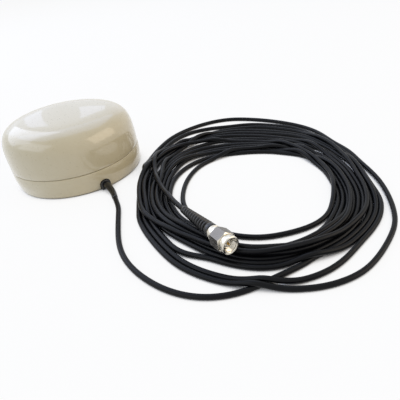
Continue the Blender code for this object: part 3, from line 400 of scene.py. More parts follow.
# %% Light the room
SOFT_LIGHT = 0.49
world = bpy.data.worlds.new("white_room")
bpy.context.scene.world = world
world.use_nodes = True
room = world.node_tree
room.nodes.clear()
path = add_node(room, "ShaderNodeLightPath")
mirror_or_eye = add_node(room, "ShaderNodeMath", {"operation": "MAXIMUM"}, {
    0: path.outputs["Is Camera Ray"], 1: path.outputs["Is Glossy Ray"]})
seen = add_node(room, "ShaderNodeMath", {"operation": "MAXIMUM"}, {
    0: mirror_or_eye.outputs[0], 1: path.outputs["Is Transmission Ray"]})
soft_light = add_node(room, "ShaderNodeBackground", None, {
    "Color": hex_colour("#f1f3f7"), "Strength": SOFT_LIGHT})
white = add_node(room, "ShaderNodeBackground", None, {"Color": (1, 1, 1, 1), "Strength": 1.0})
choice = add_node(room, "ShaderNodeMixShader", None, {
    0: seen.outputs[0], 1: soft_light.outputs[0], 2: white.outputs[0]})
add_node(room, "ShaderNodeOutputWorld", None, {"Surface": choice.outputs[0]})


def add_lamp(name, place, target, size, watts, colour):
    """A rectangular soft lamp that faces a point."""
    data = bpy.data.lights.new(name, "AREA")
    data.shape = "RECTANGLE"
    data.size, data.size_y = size
    data.energy = watts
    data.color = hex_colour(colour)[:3]
    lamp = bpy.data.objects.new(name, data)
    toward = (Vector(target) - Vector(place)).to_track_quat("-Z", "Y")
    lamp.matrix_world = Matrix.Translation(place) @ toward.to_matrix().to_4x4()
    bpy.context.scene.collection.objects.link(lamp)


# name, place, target and size in metres, watts, colour
add_lamp("sky_wall", (-0.40, 1.05, 0.50), (0.03, 0.0, 0.03), (1.5, 0.66), 1.0, "#bdd4ff")
add_lamp("sky_roof", (-0.24, 0.46, 0.88), (0.02, -0.01, 0.03), (1.1, 0.8), 2.8, "#b8d0ff")
add_lamp("left_fill", (-0.80, -0.60, 0.75), (0.06, -0.02, 0.0), (1.1, 0.8), 3.9, "#eaf1ff")
add_lamp("right_fill", (1.00, -0.15, 0.50), (0.04, -0.01, 0.0), (1.0, 0.8), 4.8, "#ffedd4")
add_lamp("window_middle", (-0.285, 0.80, 0.335), (0.016, 0.006, 0.04), (0.13, 0.075), 0.022, "#ccd8ff")
add_lamp("window_left", (-0.462, 0.72, 0.30), (-0.015, -0.01, 0.04), (0.07, 0.15), 0.024, "#ccd8ff")
add_lamp("window_low", (-0.66, 0.30, 0.52), (-0.01, -0.03, 0.036), (0.80, 0.56), 2.1, "#dde6ff")

# %% Spread the floor
COVERED_WITHIN = 12 * MM  # what is this near casts the floor's dark contact shadow
floor_mesh = bmesh.new()
bmesh.ops.create_grid(floor_mesh, x_segments=1, y_segments=1, size=3.0)
bmesh.ops.translate(floor_mesh, vec=(0, 0, -0.02 * MM), verts=floor_mesh.verts)
floor_data = bpy.data.meshes.new("paper_floor")
floor_mesh.to_mesh(floor_data)
floor = bpy.data.objects.new("paper_floor", floor_data)
bpy.context.scene.collection.objects.link(floor)

paper = bpy.data.materials.new("white_paper")
paper.use_nodes = True
paper_tree = paper.node_tree
paper_tree.nodes.clear()
paper_path = add_node(paper_tree, "ShaderNodeLightPath")
paper_open = add_node(paper_tree, "ShaderNodeAmbientOcclusion", {"samples": 8}, {
    "Distance": COVERED_WITHIN}).outputs["AO"]
paper_glow = add_node(paper_tree, "ShaderNodeMapRange", {"interpolation_type": "SMOOTHSTEP"}, {
    "Value": paper_open, "From Min": 0.2, "From Max": 0.62, "To Min": 0.0, "To Max": 0.9}).outputs[0]
paper_mirrored = add_node(paper_tree, "ShaderNodeMath", {"operation": "MAXIMUM"}, {
    0: paper_path.outputs["Is Glossy Ray"], 1: paper_path.outputs["Is Transmission Ray"]})
paper_rays = add_node(paper_tree, "ShaderNodeMath", {"operation": "MAXIMUM"}, {
    0: paper_path.outputs["Is Camera Ray"], 1: paper_mirrored.outputs[0]})
paper_seen = add_node(paper_tree, "ShaderNodeMath", {"operation": "MULTIPLY"}, {
    0: paper_rays.outputs[0], 1: paper_glow})
sheet = add_node(paper_tree, "ShaderNodeBsdfDiffuse", None, {"Color": hex_colour("#f4f4f4")})
glow = add_node(paper_tree, "ShaderNodeEmission", None, {"Color": (1, 1, 1, 1), "Strength": 1.0})
mixed = add_node(paper_tree, "ShaderNodeMixShader", None, {
    0: paper_seen.outputs[0], 1: sheet.outputs[0], 2: glow.outputs[0]})
add_node(paper_tree, "ShaderNodeOutputMaterial", None, {"Surface": mixed.outputs[0]})
floor_data.materials.append(paper)

# %% [markdown]
# ## Plastics, rubber and metals
# Most finishes here share one recipe: a Principled shader, a colour that wanders a little, a roughness
# that wanders too, and a bump for the grain of the mould or the plating. One function lays out
# that recipe, and each finish gives its real colours and its grain in millimetres. One pixel of
# the photograph is about 0.6 mm, so grain that is finer in reality, such as that of rubber, foam
# and plating, is drawn at 0.3 to 0.6 mm, some three times coarser than it is.

# %% The common recipe for a finish
def finish(name, colours, roughness, grain_mm, bump_mm, patch_mm=9.0, metallic=0.0, constants=None):
    """A material with wandering colour and roughness and a fine bump. Returns it with its parts."""
    material = bpy.data.materials.new(name)
    material.use_nodes = True
    tree = material.node_tree
    tree.nodes.clear()
    place = add_node(tree, "ShaderNodeTexCoord").outputs["Object"]
    patch = add_node(tree, "ShaderNodeTexNoise", None, {
        "Vector": place, "Scale": 1 / (patch_mm * MM), "Detail": 4.0, "Roughness": 0.55}).outputs["Fac"]
    grain = add_node(tree, "ShaderNodeTexNoise", None, {
        "Vector": place, "Scale": 1 / (grain_mm * MM), "Detail": 3.0, "Roughness": 0.6}).outputs["Fac"]
    colour = add_node(tree, "ShaderNodeMix", {"data_type": "RGBA"}, {
        0: patch, 6: hex_colour(colours[0]), 7: hex_colour(colours[1])})
    rough = add_node(tree, "ShaderNodeMapRange", None, {
        "Value": grain, "From Min": 0.3, "From Max": 0.7, "To Min": roughness[0], "To Max": roughness[1]})
    bump = add_node(tree, "ShaderNodeBump", None, {
        "Height": grain, "Strength": 0.6, "Distance": bump_mm * MM})
    shader = add_node(tree, "ShaderNodeBsdfPrincipled", None, {
        "Base Color": colour.outputs[2], "Roughness": rough.outputs[0], "Normal": bump.outputs[0],
        "Metallic": metallic, **(constants or {})})
    add_node(tree, "ShaderNodeOutputMaterial", None, {"Surface": shader.outputs[0]})
    return material, {"tree": tree, "place": place, "colour": colour, "shader": shader}


# %% [markdown]
# The shell is injection-moulded ABS with a polished mould, so it is glossy and almost free of grain.
# Ivory ABS yellows unevenly. Its lowest edge is darkened with painted shade, where the shell meets
# the floor, and a few tiny black specks are burnt resin from the mould, which every pale moulding shows.

# %% Glossy ivory ABS
ivory, parts = finish("moulded_ivory_abs", ("#cdc3a6", "#c3b795"), (0.26, 0.34), 1.6, 0.006, 22.0,
                      constants={"IOR": 1.45, "Coat Weight": 0.9, "Coat Roughness": 0.03, "Coat IOR": 1.5})
tree = parts["tree"]
height = add_node(tree, "ShaderNodeSeparateXYZ", None, {0: parts["place"]}).outputs["Z"]
# painted shade: the lowest 1.6 mm of the shell are darkened towards the floor
painted_floor_shade = add_node(tree, "ShaderNodeMapRange", {"interpolation_type": "SMOOTHSTEP"}, {
    "Value": height, "From Min": 0.4 * MM, "From Max": 1.6 * MM, "To Min": 0.55, "To Max": 0.0}).outputs[0]
floor_shaded_ivory = add_node(tree, "ShaderNodeMix", {"data_type": "RGBA"}, {
    0: painted_floor_shade, 6: parts["colour"].outputs[2], 7: hex_colour("#4a4436")})
speck = add_node(tree, "ShaderNodeTexVoronoi", None, {
    "Vector": parts["place"], "Scale": 1 / (13.0 * MM)}).outputs["Distance"]
speck_mask = add_node(tree, "ShaderNodeMapRange", None, {
    "Value": speck, "From Min": 0.018, "From Max": 0.032, "To Min": 0.8, "To Max": 0.0}).outputs[0]
speckled = add_node(tree, "ShaderNodeMix", {"data_type": "RGBA"}, {
    0: speck_mask, 6: floor_shaded_ivory.outputs[2], 7: hex_colour("#3a352b")})
tree.links.new(speckled.outputs[2], parts["shader"].inputs["Base Color"])

# %% [markdown]
# The lead's jacket is extruded PVC: satin black, with a bluish sheen along the top of each turn, and
# fine lines left by the die. Boot and grommet are the same PVC, moulded, with a little more grain.

# %% Black PVC
jacket, _ = finish("extruded_black_pvc", ("#0e0f12", "#08090b"), (0.28, 0.40), 0.9, 0.020, 14.0,
                   constants={"IOR": 1.5, "Specular IOR Level": 0.14})
boot_pvc, _ = finish("moulded_black_pvc", ("#0d0e11", "#08090b"), (0.18, 0.28), 0.5, 0.030, 6.0,
                     constants={"IOR": 1.5, "Specular IOR Level": 0.45})
foot_rubber, _ = finish("moulded_foot_rubber", ("#1c1c1c", "#242424"), (0.7, 0.85), 0.4, 0.060, 8.0)
seal_rubber, _ = finish("silicone_rubber", ("#26262a", "#1e1e22"), (0.5, 0.6), 0.6, 0.020, 6.0)

# %% [markdown]
# The plug's nut, body and crimp ferrule are turned brass with bright nickel plating. Turning leaves
# fine rings round the axis, which plating softens but doesn't hide. The contact is gold plated.
# The flats are the drawn bar's own and duller than what was turned; their darker colour is painted
# reflection.
# A metal keeps the shader's own IOR, and its colour is how much it reflects.

# %% Metals
nickel, _ = finish("nickel_plated_brass", ("#dcd7cb", "#cec8ba"), (0.10, 0.20), 0.35, 0.006, 3.0, 1.0)
# painted reflection: the flats' colour is darker than the turned nickel to stand for a dark reflection
flats_nickel_painted_dark, _ = finish("bar_flats_painted_reflection", ("#726d66", "#66625c"), (0.22, 0.34), 0.35, 0.010,
                         3.0, 1.0)
gold, _ = finish("gold_plated_contact", ("#e3bd6a", "#d9b15c"), (0.16, 0.24), 0.3, 0.004, 2.0, 1.0)
zinc, _ = finish("zinc_plated_steel", ("#b9bcc0", "#a9adb3"), (0.26, 0.38), 0.5, 0.010, 3.0, 1.0)
magnet_nickel, _ = finish("nickel_plated_magnet", ("#b3b3b1", "#a6a6a4"), (0.2, 0.3), 0.5, 0.008,
                          4.0, 1.0)
tinned, _ = finish("tinned_sheet_steel", ("#c6c8c9", "#b6b9bb"), (0.3, 0.42), 0.6, 0.012, 5.0, 1.0)

# %% Materials inside the shell and the plug
ptfe, _ = finish("turned_ptfe", ("#e9e8e2", "#dfded7"), (0.4, 0.5), 0.5, 0.010, 3.0)
laminate, _ = finish("solder_resist_laminate", ("#12572f", "#0f4a29"), (0.3, 0.4), 0.5, 0.012, 6.0)
foam_tape, _ = finish("acrylic_foam_tape", ("#e4e2da", "#d9d6cc"), (0.75, 0.85), 0.4, 0.05, 4.0)
ceramic, _ = finish("fired_ceramic", ("#c8b295", "#bda586"), (0.5, 0.62), 0.4, 0.02, 5.0)
epoxy, _ = finish("moulded_epoxy", ("#1a1a1b", "#232324"), (0.5, 0.6), 0.3, 0.02, 2.0)
lead.data.materials.append(jacket)
print(len(bpy.data.materials), "materials")

# %% [markdown]
# ## Helpers for turned pieces
# Most of this object is turned or moulded round an axis. Each such piece starts as a half section,
# radius and height in millimetres, and bmesh's spin carries it once round. The doubles at the
# axis are merged and the normals recalculated, and a bevel takes the sharpness off the rims, as
# on any real edge.

# %% Spin, soften and finish a piece
def spun(section, steps, closed=False):
    """A bmesh turned round Z from a section of (radius, height) points in mm."""
    mesh = bmesh.new()
    points = [mesh.verts.new((radius * MM, 0, height * MM)) for radius, height in section]
    pairs = list(zip(points, points[1:])) + ([(points[-1], points[0])] if closed else [])
    edges = [mesh.edges.new(pair) for pair in pairs]
    bmesh.ops.spin(mesh, geom=points + edges, cent=(0, 0, 0), axis=(0, 0, 1), dvec=(0, 0, 0),
                   angle=2 * math.pi, steps=steps, use_merge=True)
    bmesh.ops.remove_doubles(mesh, verts=mesh.verts, dist=0.001 * MM)
    bmesh.ops.recalc_face_normals(mesh, faces=mesh.faces)
    return mesh


def soften(mesh, width_mm, segments=2, sharper_than=35):
    """Rounds all edges that are sharper than an angle."""
    sharp = [edge for edge in mesh.edges
             if edge.is_manifold and edge.calc_face_angle() > math.radians(sharper_than)]
    bmesh.ops.bevel(mesh, geom=sharp, offset=width_mm * MM, offset_type="OFFSET", segments=segments,
                    profile=0.5, affect="EDGES", material=-1, clamp_overlap=True)
    return mesh


def make_piece(name, mesh, material, place=None, smooth=35):
    """An object at the origin with the bmesh as its mesh, moved to its place, smooth up to an angle."""
    data = bpy.data.meshes.new(name)
    mesh.to_mesh(data)
    mesh.free()
    if place is not None:
        data.transform(place)
    data.shade_smooth()
    data.set_sharp_from_angle(angle=math.radians(smooth))
    if material:
        data.materials.append(material)
    item = bpy.data.objects.new(name, data)
    bpy.context.scene.collection.objects.link(item)
    return item


def combine(item, other, operation, smooth=35):
    """Applies a Boolean with another object and removes that object."""
    modifier = item.modifiers.new("combine", "BOOLEAN")
    modifier.object, modifier.operation, modifier.solver = other, operation, "EXACT"
    result = bpy.data.meshes.new_from_object(item.evaluated_get(bpy.context.evaluated_depsgraph_get()))
    item.modifiers.clear()
    old, item.data = item.data, result
    result.name = item.name
    bpy.data.meshes.remove(old)
    bpy.data.objects.remove(other)
    item.data.shade_smooth()
    item.data.set_sharp_from_angle(angle=math.radians(smooth))


def settle_in(item, body, slot, *nodes):
    """Fixes a piece to a body, and lets it stand for CAD nodes."""
    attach(item, body)
    if nodes:
        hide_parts(*nodes)
    print(item.name, "on", body, "for", ", ".join(nodes) or "no node")


# %% [markdown]
# ## The radome
# The upper shell is one moulding: a crowned top, a wide rounded shoulder and a wall that is almost
# upright. Its outline is a superellipse, fuller than an ellipse, and the same formula with a
# wall's thickness less gives its inside. The wall ends at the split line in a small chamfer, and a
# lip reaches down into the base.

# %% Turn the radome
SHELL_STEPS = 160
SHELL_RADIUS = 40.0
SHELL_TOP = 40.0
WALL_BREAK = 7.0
FULLNESS = 5.6
SPLIT_LOW, SPLIT_HIGH = 13.25, 13.55


def crown(inset, lowest, count):
    """Section of the crown from the axis down to a height."""
    points = []
    for index in range(count + 1):
        angle = math.pi / 2 * (1 - index / count)
        across = (SHELL_RADIUS - inset) * math.cos(angle) ** (2 / FULLNESS) if index else 0.0
        up = WALL_BREAK + (SHELL_TOP - inset - WALL_BREAK) * math.sin(angle) ** (2 / FULLNESS)
        if up > lowest:
            points.append((across, up))
    return points


WALL_FOOT = 39.99
WALL = 2.4
LIP_OUT, LIP_IN, LIP_LOW = 38.1, 36.7, 11.65
radome_section = crown(0.0, SPLIT_HIGH + 1.5, 56) + [
    (WALL_FOOT, SPLIT_HIGH + 0.35), (WALL_FOOT - 0.12, SPLIT_HIGH + 0.1), (WALL_FOOT - 0.35, SPLIT_HIGH),
    (LIP_OUT, SPLIT_HIGH), (LIP_OUT, LIP_LOW), (LIP_IN, LIP_LOW), (LIP_IN, SPLIT_HIGH + 2.5),
] + crown(WALL, SPLIT_HIGH + 5.5, 30)[::-1]
radome = make_piece("radome_shell", spun(radome_section, SHELL_STEPS), ivory)

SCREW_RING = 32.4
SCREW_TURN = math.radians(-5.0)
SCREW_ANGLES = [SCREW_TURN + quarter * math.pi / 2 for quarter in range(4)]
SCREW_PLACES = [(SCREW_RING * math.cos(angle), SCREW_RING * math.sin(angle)) for angle in SCREW_ANGLES]
for index, (x, y) in enumerate(SCREW_PLACES):
    boss = spun([(1.75, 5.5), (3.2, 5.5), (3.2, 25.0), (1.75, 25.0)], 32, closed=True)
    tube = make_piece(f"boss_{index}", boss, ivory, Matrix.Translation((x * MM, y * MM, 0)))
    combine(radome, tube, "UNION")
settle_in(radome, "root", "housing_plastic", "radome")
print("radome has", len(radome.data.polygons), "faces")

# %% [markdown]
# ## The base
# The lower shell is a shallow tray. It is turned like the radome, and then cut: an arched
# notch for the grommet, four sunk holes for the screws and three pockets for magnets.
# Boolean cuts suit it, because these openings cross the turned surface at odd angles.

# %% Turn and cut the base
EXIT_TURN = math.radians(-50.0)
base_section = [
    (0, 3.4), (35.4, 3.4), (36.1, 3.7), (36.4, 4.4), (36.4, 9.55), (38.4, 9.55), (38.4, SPLIT_LOW),
    (39.65, SPLIT_LOW), (39.88, SPLIT_LOW - 0.1), (40.0, SPLIT_LOW - 0.35), (40.0, WALL_BREAK + 0.6),
    (39.98, WALL_BREAK), (39.9, WALL_BREAK - 0.7), (39.2, 1.1), (39.14, 0.78), (38.95, 0.55), (38.65, 0.4),
    (28.5, 0.4), (28.3, 0.6), (28.3, 1.4), (0, 1.4),
]
base = make_piece("base_shell", spun(base_section, SHELL_STEPS), ivory)
MAGNET_RING, POST_RING = 17.0, 24.0


def round_cutter(name, radius, low, high, x, y, steps=40):
    """A plain round rod from one height to another, to add or to cut away."""
    return make_piece(name, spun([(0, high), (radius, high), (radius, low), (0, low)], steps), None,
                      Matrix.Translation((x * MM, y * MM, 0)))


def arch_piece(name, width, top, low, high, bottom=0.4, edge=0.0, material=None):
    """A plate across the lead's way out: flat below, half round on top, from low to high outwards."""
    mesh = bmesh.new()
    half = width / 2
    outline = [(half, bottom)] + [
        (half * math.cos(math.pi * step / 20), top - half + half * math.sin(math.pi * step / 20))
        for step in range(21)
    ] + [(-half, bottom)]
    rim = [mesh.verts.new((low * MM, across * MM, up * MM)) for across, up in outline]
    plate = mesh.faces.new(rim)
    grown = bmesh.ops.extrude_face_region(mesh, geom=[plate])["geom"]
    moved = [part for part in grown if isinstance(part, bmesh.types.BMVert)]
    bmesh.ops.translate(mesh, vec=((high - low) * MM, 0, 0), verts=moved)
    bmesh.ops.recalc_face_normals(mesh, faces=mesh.faces)
    if edge:
        soften(mesh, edge, 3, 50)
    return make_piece(name, mesh, material, Matrix.Rotation(EXIT_TURN, 4, "Z"))


for index, (x, y) in enumerate(SCREW_PLACES):
    combine(base, round_cutter(f"seat_{index}", 3.6, 2.5, 5.1, x, y), "UNION")
    combine(base, round_cutter(f"sink_{index}", 3.0, 0.0, 3.1, x, y), "DIFFERENCE")
    combine(base, round_cutter(f"hole_{index}", 1.75, 0.0, 6.0, x, y), "DIFFERENCE")
for index in range(3):
    turn = SCREW_TURN + index * 2 * math.pi / 3
    x, y = MAGNET_RING * math.cos(turn), MAGNET_RING * math.sin(turn)
    combine(base, round_cutter(f"pocket_{index}", 7.9, 2.4, 5.7, x, y), "UNION")
    combine(base, round_cutter(f"bore_{index}", 6.3, 0.0, 4.4, x, y), "DIFFERENCE")
    turn += math.pi / 3
    x, y = POST_RING * math.cos(turn), POST_RING * math.sin(turn)
    combine(base, round_cutter(f"post_{index}", 2.8, 2.4, 14.0, x, y), "UNION")
    combine(base, round_cutter(f"tap_{index}", 1.4, 7.0, 15.0, x, y), "DIFFERENCE")
combine(base, arch_piece("notch", 6.8, 6.6, 34.3, 42.0, -1.0), "DIFFERENCE")
combine(base, arch_piece("flange_room", 9.4, 7.9, 34.3, 36.25, -1.0), "DIFFERENCE")
settle_in(base, "root", "housing_plastic", "base_housing")
print("base has", len(base.data.polygons), "faces")

# %% [markdown]
# ## The grommet
# A soft black moulding carries the lead through the wall. An arched block fills the notch, a flange
# inside holds it, and a sleeve outside tapers down over the lead, so that the lead can't be bent
# sharply at the wall. The sleeve is a curve whose radius shrinks from point to point.

# %% Mould the grommet
grommet = arch_piece("grommet", 6.2, 6.3, 35.0, 41.0, 0.4, 0.5, boot_pvc)
flange = arch_piece("grommet_flange", 8.8, 7.6, 34.6, 36.1, 0.4, 0.2, boot_pvc)

SLEEVE_THICK, SLEEVE_THIN = 2.25, 1.6
SLEEVE_ROUTE = [(38.5, 0.0, 3.2), (45.0, -0.1, 3.0), (51.5, -0.8, 2.4), (58.2, -2.5, 1.9)]
sleeve_line = even_steps(smooth_line([np.array(point) for point in SLEEVE_ROUTE]), 0.5)
sleeve_curve = bpy.data.curves.new("sleeve", "CURVE")
sleeve_curve.dimensions = "3D"
sleeve_curve.bevel_depth = MM
sleeve_curve.bevel_resolution = 8
sleeve_curve.use_fill_caps = True
sleeve_spline = sleeve_curve.splines.new("POLY")
sleeve_spline.points.add(len(sleeve_line) - 1)
for index, (out, side, up) in enumerate(sleeve_line):
    share = index / (len(sleeve_line) - 1)
    lip = 0.86 if share > 0.985 else 1.0
    sleeve_spline.points[index].co = (out * MM, side * MM, up * MM, 1)
    sleeve_spline.points[index].radius = (SLEEVE_THICK + (SLEEVE_THIN - SLEEVE_THICK) * share) * lip
sleeve_object = bpy.data.objects.new("sleeve", sleeve_curve)
bpy.context.scene.collection.objects.link(sleeve_object)
sleeve_mesh = bmesh.new()
sleeve_mesh.from_mesh(bpy.data.meshes.new_from_object(
    sleeve_object.evaluated_get(bpy.context.evaluated_depsgraph_get())))
bmesh.ops.remove_doubles(sleeve_mesh, verts=sleeve_mesh.verts, dist=0.001 * MM)
bmesh.ops.recalc_face_normals(sleeve_mesh, faces=sleeve_mesh.faces)
bpy.data.objects.remove(sleeve_object)
sleeve = make_piece("grommet_sleeve", sleeve_mesh, boot_pvc, Matrix.Rotation(EXIT_TURN, 4, "Z"))
combine(grommet, flange, "UNION", 50)
combine(grommet, sleeve, "UNION", 50)
settle_in(grommet, "root", "grommet_plastic", "cable_grommet")

# %% [markdown]
# ## The underside
# A rubber foot keeps the shell from scratching what it stands on, with magnets above it. Shallow
# rings moulded in the rubber give it grip. Four screws close the shell from below, with a cross
# recess for the driver.

# %% Mould the foot
foot_section = [(0, 1.1), (27.9, 1.1), (28.0, 1.0), (28.0, 0.3), (27.7, 0.0), (26.0, 0.0)]
for ring in range(6):
    outer = 24.8 - 3.6 * ring
    foot_section += [(outer, 0.0), (outer - 0.3, 0.25), (outer - 1.0, 0.25), (outer - 1.3, 0.0)]
foot_section += [(0, 0.0)]
foot = make_piece("grip_foot", spun(foot_section, 128), foot_rubber, smooth=30)
settle_in(foot, "root", "foot_rubber", "rubber_foot")

# %% Turn the screws
for index, (x, y) in enumerate(SCREW_PLACES, 1):
    screw_section = [
        (0, 0.8), (2.0, 0.8), (2.45, 1.0), (2.7, 1.4), (2.7, 2.8), (1.45, 2.8), (1.45, 14.6), (0.7, 15.8),
        (0, 15.8),
    ]
    place = Matrix.Translation((x * MM, y * MM, 0)) @ Matrix.Rotation(0.5 + 0.7 * index, 4, "Z")
    screw = make_piece(f"pan_screw_{index}", spun(screw_section, 40), zinc, place)
    for arm in range(2):
        mesh = bmesh.new()
        bmesh.ops.create_cone(mesh, cap_ends=True, segments=4, radius1=0.0022, radius2=0.0012, depth=0.0018)
        eighth = Matrix.Rotation(math.pi / 4, 3, "Z")
        bmesh.ops.rotate(mesh, cent=(0, 0, 0), matrix=eighth, verts=mesh.verts)
        bmesh.ops.scale(mesh, vec=(1, 0.27, 1), verts=mesh.verts)
        bmesh.ops.translate(mesh, vec=(0, 0, 0.8 * MM), verts=mesh.verts)
        turn = place @ Matrix.Rotation(arm * math.pi / 2, 4, "Z")
        combine(screw, make_piece("cross_arm", mesh, zinc, turn), "DIFFERENCE")
    settle_in(screw, "root", "screw_steel", f"closing_screw_{index}")

# %% [markdown]
# ## The plug
# The plug lies on the coil with its nut towards the front. All its pieces are modelled upright
# round Z with the nut's front rim at zero, and one matrix puts them on the joint's axis.
# The nut is a hexagon bar that was turned at both ends, which leaves curved chamfers on its flats
# and a round shoulder behind. A groove parts it from a round collar, and a thread of 0.7 mm pitch
# runs inside. The flats are picked out by their direction and place for their duller finish and
# their darker colour, which is a painted reflection.

# %% Make the coupling nut
PLUG_PLACE = Matrix.Translation(PLUG_FRONT) @ PLUG_AXIS.to_track_quat("Z", "Y").to_matrix().to_4x4()
HEX_FLATS = 9.0
FLATS_FRONT, FLATS_BACK, FLATS_OUT = -3.3, -11.4, 4.3
NUT_STEPS = 96
NUT_TURN = math.radians(-5.0)
HEX_CORNER = HEX_FLATS / 2 / math.cos(math.pi / 6)

hexagon = bmesh.new()
bmesh.ops.create_cone(hexagon, cap_ends=True, segments=6, radius1=HEX_CORNER * MM,
                      radius2=HEX_CORNER * MM, depth=25.2 * MM)
bmesh.ops.translate(hexagon, vec=(0, 0, -12.6 * MM), verts=hexagon.verts)
nut = make_piece("hexagon_nut", hexagon, nickel)
combine(nut, make_piece("chamfers", spun([
    (0, -3.6), (4.4, -3.6), (HEX_CORNER + 0.1, -4.15), (HEX_CORNER + 0.1, -10.75), (4.4, -11.3),
    (4.15, -11.4), (4.15, -12.4), (3.95, -12.6), (0, -12.6),
], NUT_STEPS), None), "INTERSECT", 25)
combine(nut, make_piece("collar", spun([
    (0, 0), (3.9, 0), (4.15, -0.06), (4.34, -0.2), (4.4, -0.42), (4.4, -2.98), (4.34, -3.12), (4.2, -3.2),
    (4.05, -3.2), (4.05, -4.7), (0, -4.7),
], NUT_STEPS), None), "UNION", 25)
combine(nut, make_piece("bore", spun([
    (0, 1), (3.35, 1), (3.35, -0.1), (3.1, -0.4), (3.1, -4.0), (3.35, -4.0), (3.35, -11.4),
    (2.45, -11.4), (2.45, -13.6), (0, -13.6),
], NUT_STEPS), None), "DIFFERENCE", 25)

ridge = bmesh.new()
corners = [ridge.verts.new((radius * MM, 0, height * MM))
           for radius, height in ((3.14, -0.36), (3.14, -0.90), (2.85, -0.66), (2.85, -0.60))]
sides = [ridge.edges.new((corners[index], corners[(index + 1) % 4])) for index in range(4)]
THREAD_TURNS, THREAD_PITCH = 4.4, 0.7056
thread_steps = int(48 * THREAD_TURNS)
bmesh.ops.spin(ridge, geom=corners + sides, cent=(0, 0, 0), axis=(0, 0, 1),
               dvec=(0, 0, -THREAD_PITCH * THREAD_TURNS / thread_steps * MM),
               angle=2 * math.pi * THREAD_TURNS, steps=thread_steps, use_merge=False)
bmesh.ops.holes_fill(ridge, edges=[edge for edge in ridge.edges if edge.is_boundary], sides=4)
bmesh.ops.recalc_face_normals(ridge, faces=ridge.faces)
thread = make_piece("thread_ridge", ridge, nickel, smooth=40)
whole = bmesh.new()
whole.from_mesh(nut.data)
whole.from_mesh(thread.data)
for face in whole.faces:
    middle = face.calc_center_median() / MM
    upright = abs(face.normal.z) < 0.05 and FLATS_BACK < middle.z < FLATS_FRONT
    face.material_index = 1 if upright and math.hypot(middle.x, middle.y) > FLATS_OUT else 0
bpy.data.objects.remove(thread)
bpy.data.objects.remove(nut)
nut = make_piece("hexagon_nut", whole, nickel, PLUG_PLACE @ Matrix.Rotation(NUT_TURN, 4, "Z"), smooth=25)
# the flats take the material with the painted reflection
nut.data.materials.append(flats_nickel_painted_dark)
edges = nut.modifiers.new("worn_edges", "BEVEL")
edges.width, edges.segments, edges.limit_method = 0.07 * MM, 2, "ANGLE"
edges.angle_limit = math.radians(40)
edges.harden_normals = True
settle_in(nut, "nut", "plug_nickel", "coupling_nut")

# %% [markdown]
# The plug's body is turned too: a thin front sleeve that slides into the socket, a shoulder with
# a groove for the retaining ring, a neck, and the bright collar that shows behind the nut. A
# white PTFE insulator holds the contact pin in the middle of the sleeve.

# %% Turn the body, the insulator and the pin
body_section = [
    (1.85, -2.6), (2.0, -2.5), (2.2, -2.5), (2.3, -2.65), (2.3, -5.25), (2.55, -5.25), (2.55, -10.35),
    (2.1, -10.35), (2.1, -11.25), (2.3, -11.25), (2.3, -12.9), (3.4, -12.9), (3.62, -12.98), (3.7, -13.2),
    (3.7, -14.0), (3.58, -14.12), (3.58, -14.35), (3.7, -14.47), (3.7, -15.4), (3.62, -15.62), (3.4, -15.7),
    (1.6, -15.7), (1.6, -20.4), (0.76, -20.4), (0.76, -13.05), (1.85, -13.05),
]
body = make_piece("plug_barrel", spun(body_section, NUT_STEPS, closed=True), nickel, PLUG_PLACE, smooth=25)
settle_in(body, "root", "plug_nickel", "plug_body")

insulator = make_piece("white_insulator", soften(spun([
    (0.61, -2.8), (1.7, -2.8), (1.7, -12.9), (0.61, -12.9),
], 48, closed=True), 0.08), ptfe, PLUG_PLACE)
settle_in(insulator, "root", "insulator", "plug_insulator")

pin = make_piece("contact_pin", spun([
    (0, -1.2), (0.12, -1.22), (0.23, -1.32), (0.4, -1.62), (0.46, -1.85), (0.46, -19.4), (0, -19.4),
], 32), gold, PLUG_PLACE)
settle_in(pin, "root", "contact_gold", "plug_pin")

# %% [markdown]
# ## The boot
# The boot is moulded over the crimp. Behind a smooth collar it has eleven rings that shrink towards
# the lead. The grooves between them let it bend in a wide curve, and they get shallower towards
# the thin end.

# %% Mould the ribbed boot
BOOT_START, BOOT_RIBS_FROM = -16.0, -19.4
THICK, THIN = 3.6, 2.0
RIBS, GROOVE = 11, 1.0
pitch = (BOOT_RIBS_FROM - BOOT_STOP) / (RIBS + 0.5)
boot_section = [
    (0, BOOT_START), (3.1, BOOT_START), (3.42, BOOT_START - 0.1), (THICK, BOOT_START - 0.4),
    (THICK, BOOT_RIBS_FROM + 0.25), (3.5, BOOT_RIBS_FROM),
]
for rib in range(RIBS):
    top = BOOT_RIBS_FROM - rib * pitch
    share = (rib + 0.5) / (RIBS + 0.5)
    radius = THICK + (THIN - THICK) * share
    depth = GROOVE * (1 - 0.5 * share)
    boot_section += [
        (radius - 0.72 * depth, top - 0.08 * pitch), (radius - depth, top - 0.18 * pitch),
        (radius - depth, top - 0.44 * pitch), (radius - 0.6 * depth, top - 0.52 * pitch),
        (radius - 0.12, top - 0.60 * pitch), (radius, top - 0.70 * pitch),
        (radius, top - 0.86 * pitch), (radius - 0.12, top - 0.96 * pitch),
    ]
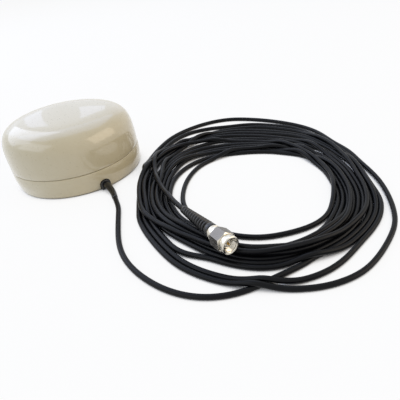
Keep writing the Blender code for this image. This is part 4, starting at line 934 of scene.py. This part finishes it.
boot_section += [
    (THIN, BOOT_STOP + 0.5), (THIN - 0.06, BOOT_STOP + 0.18), (THIN - 0.3, BOOT_STOP), (0, BOOT_STOP),
]
boot = make_piece("ribbed_boot", spun(boot_section, 64), boot_pvc, PLUG_PLACE, smooth=50)
combine(boot, make_piece("boot_bore", spun([
    (0, -15.0), (2.7, -15.0), (2.7, -21.3), (0, -21.3)], 48), None, PLUG_PLACE), "DIFFERENCE", 50)
settle_in(boot, "root", "boot_plastic", "plug_boot")

# %% [markdown]
# ## What the shell hides
# Board, patch, shield can, magnets, seals and the small parts of the plug have their right shape
# in the CAD model. Its triangles are loose, so each is copied, merged and shaded smooth up to an
# angle, and gets its real finish.

# %% Dress the hidden parts
HIDDEN = {
    "seal_ring": (seal_rubber, "seal_rubber"), "magnet_1": (magnet_nickel, "magnet"),
    "magnet_2": (magnet_nickel, "magnet"), "magnet_3": (magnet_nickel, "magnet"),
    "circuit_board": (laminate, "board"), "board_screw_1": (zinc, "screw_steel"),
    "board_screw_2": (zinc, "screw_steel"), "board_screw_3": (zinc, "screw_steel"),
    "patch_tape": (foam_tape, "adhesive"), "ceramic_patch": (ceramic, "ceramic"),
    "feed_pin": (gold, "contact_gold"), "shield_can": (tinned, "tinned_steel"),
    "amplifier_chip": (epoxy, "chip"), "signal_filter": (epoxy, "chip"),
    "cord_inner": (jacket, "cable_jacket"), "retaining_ring": (zinc, "screw_steel"),
    "plug_gasket": (seal_rubber, "seal_rubber"), "crimp_ferrule": (nickel, "plug_nickel"),
}
dressed = {}
for node, (material, slot) in HIDDEN.items():
    mesh = bmesh.new()
    mesh.from_mesh(frame["nodes"][node].data)
    bmesh.ops.remove_doubles(mesh, verts=mesh.verts, dist=0.001 * MM)
    dressed[node] = make_piece(f"{node}_dressed", mesh, material, smooth=30)
    settle_in(dressed[node], "root", slot, node)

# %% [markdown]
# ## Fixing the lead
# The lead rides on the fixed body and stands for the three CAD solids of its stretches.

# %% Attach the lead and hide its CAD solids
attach(lead, "root")
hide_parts("cord_lead", "cord_coil", "cord_tail")
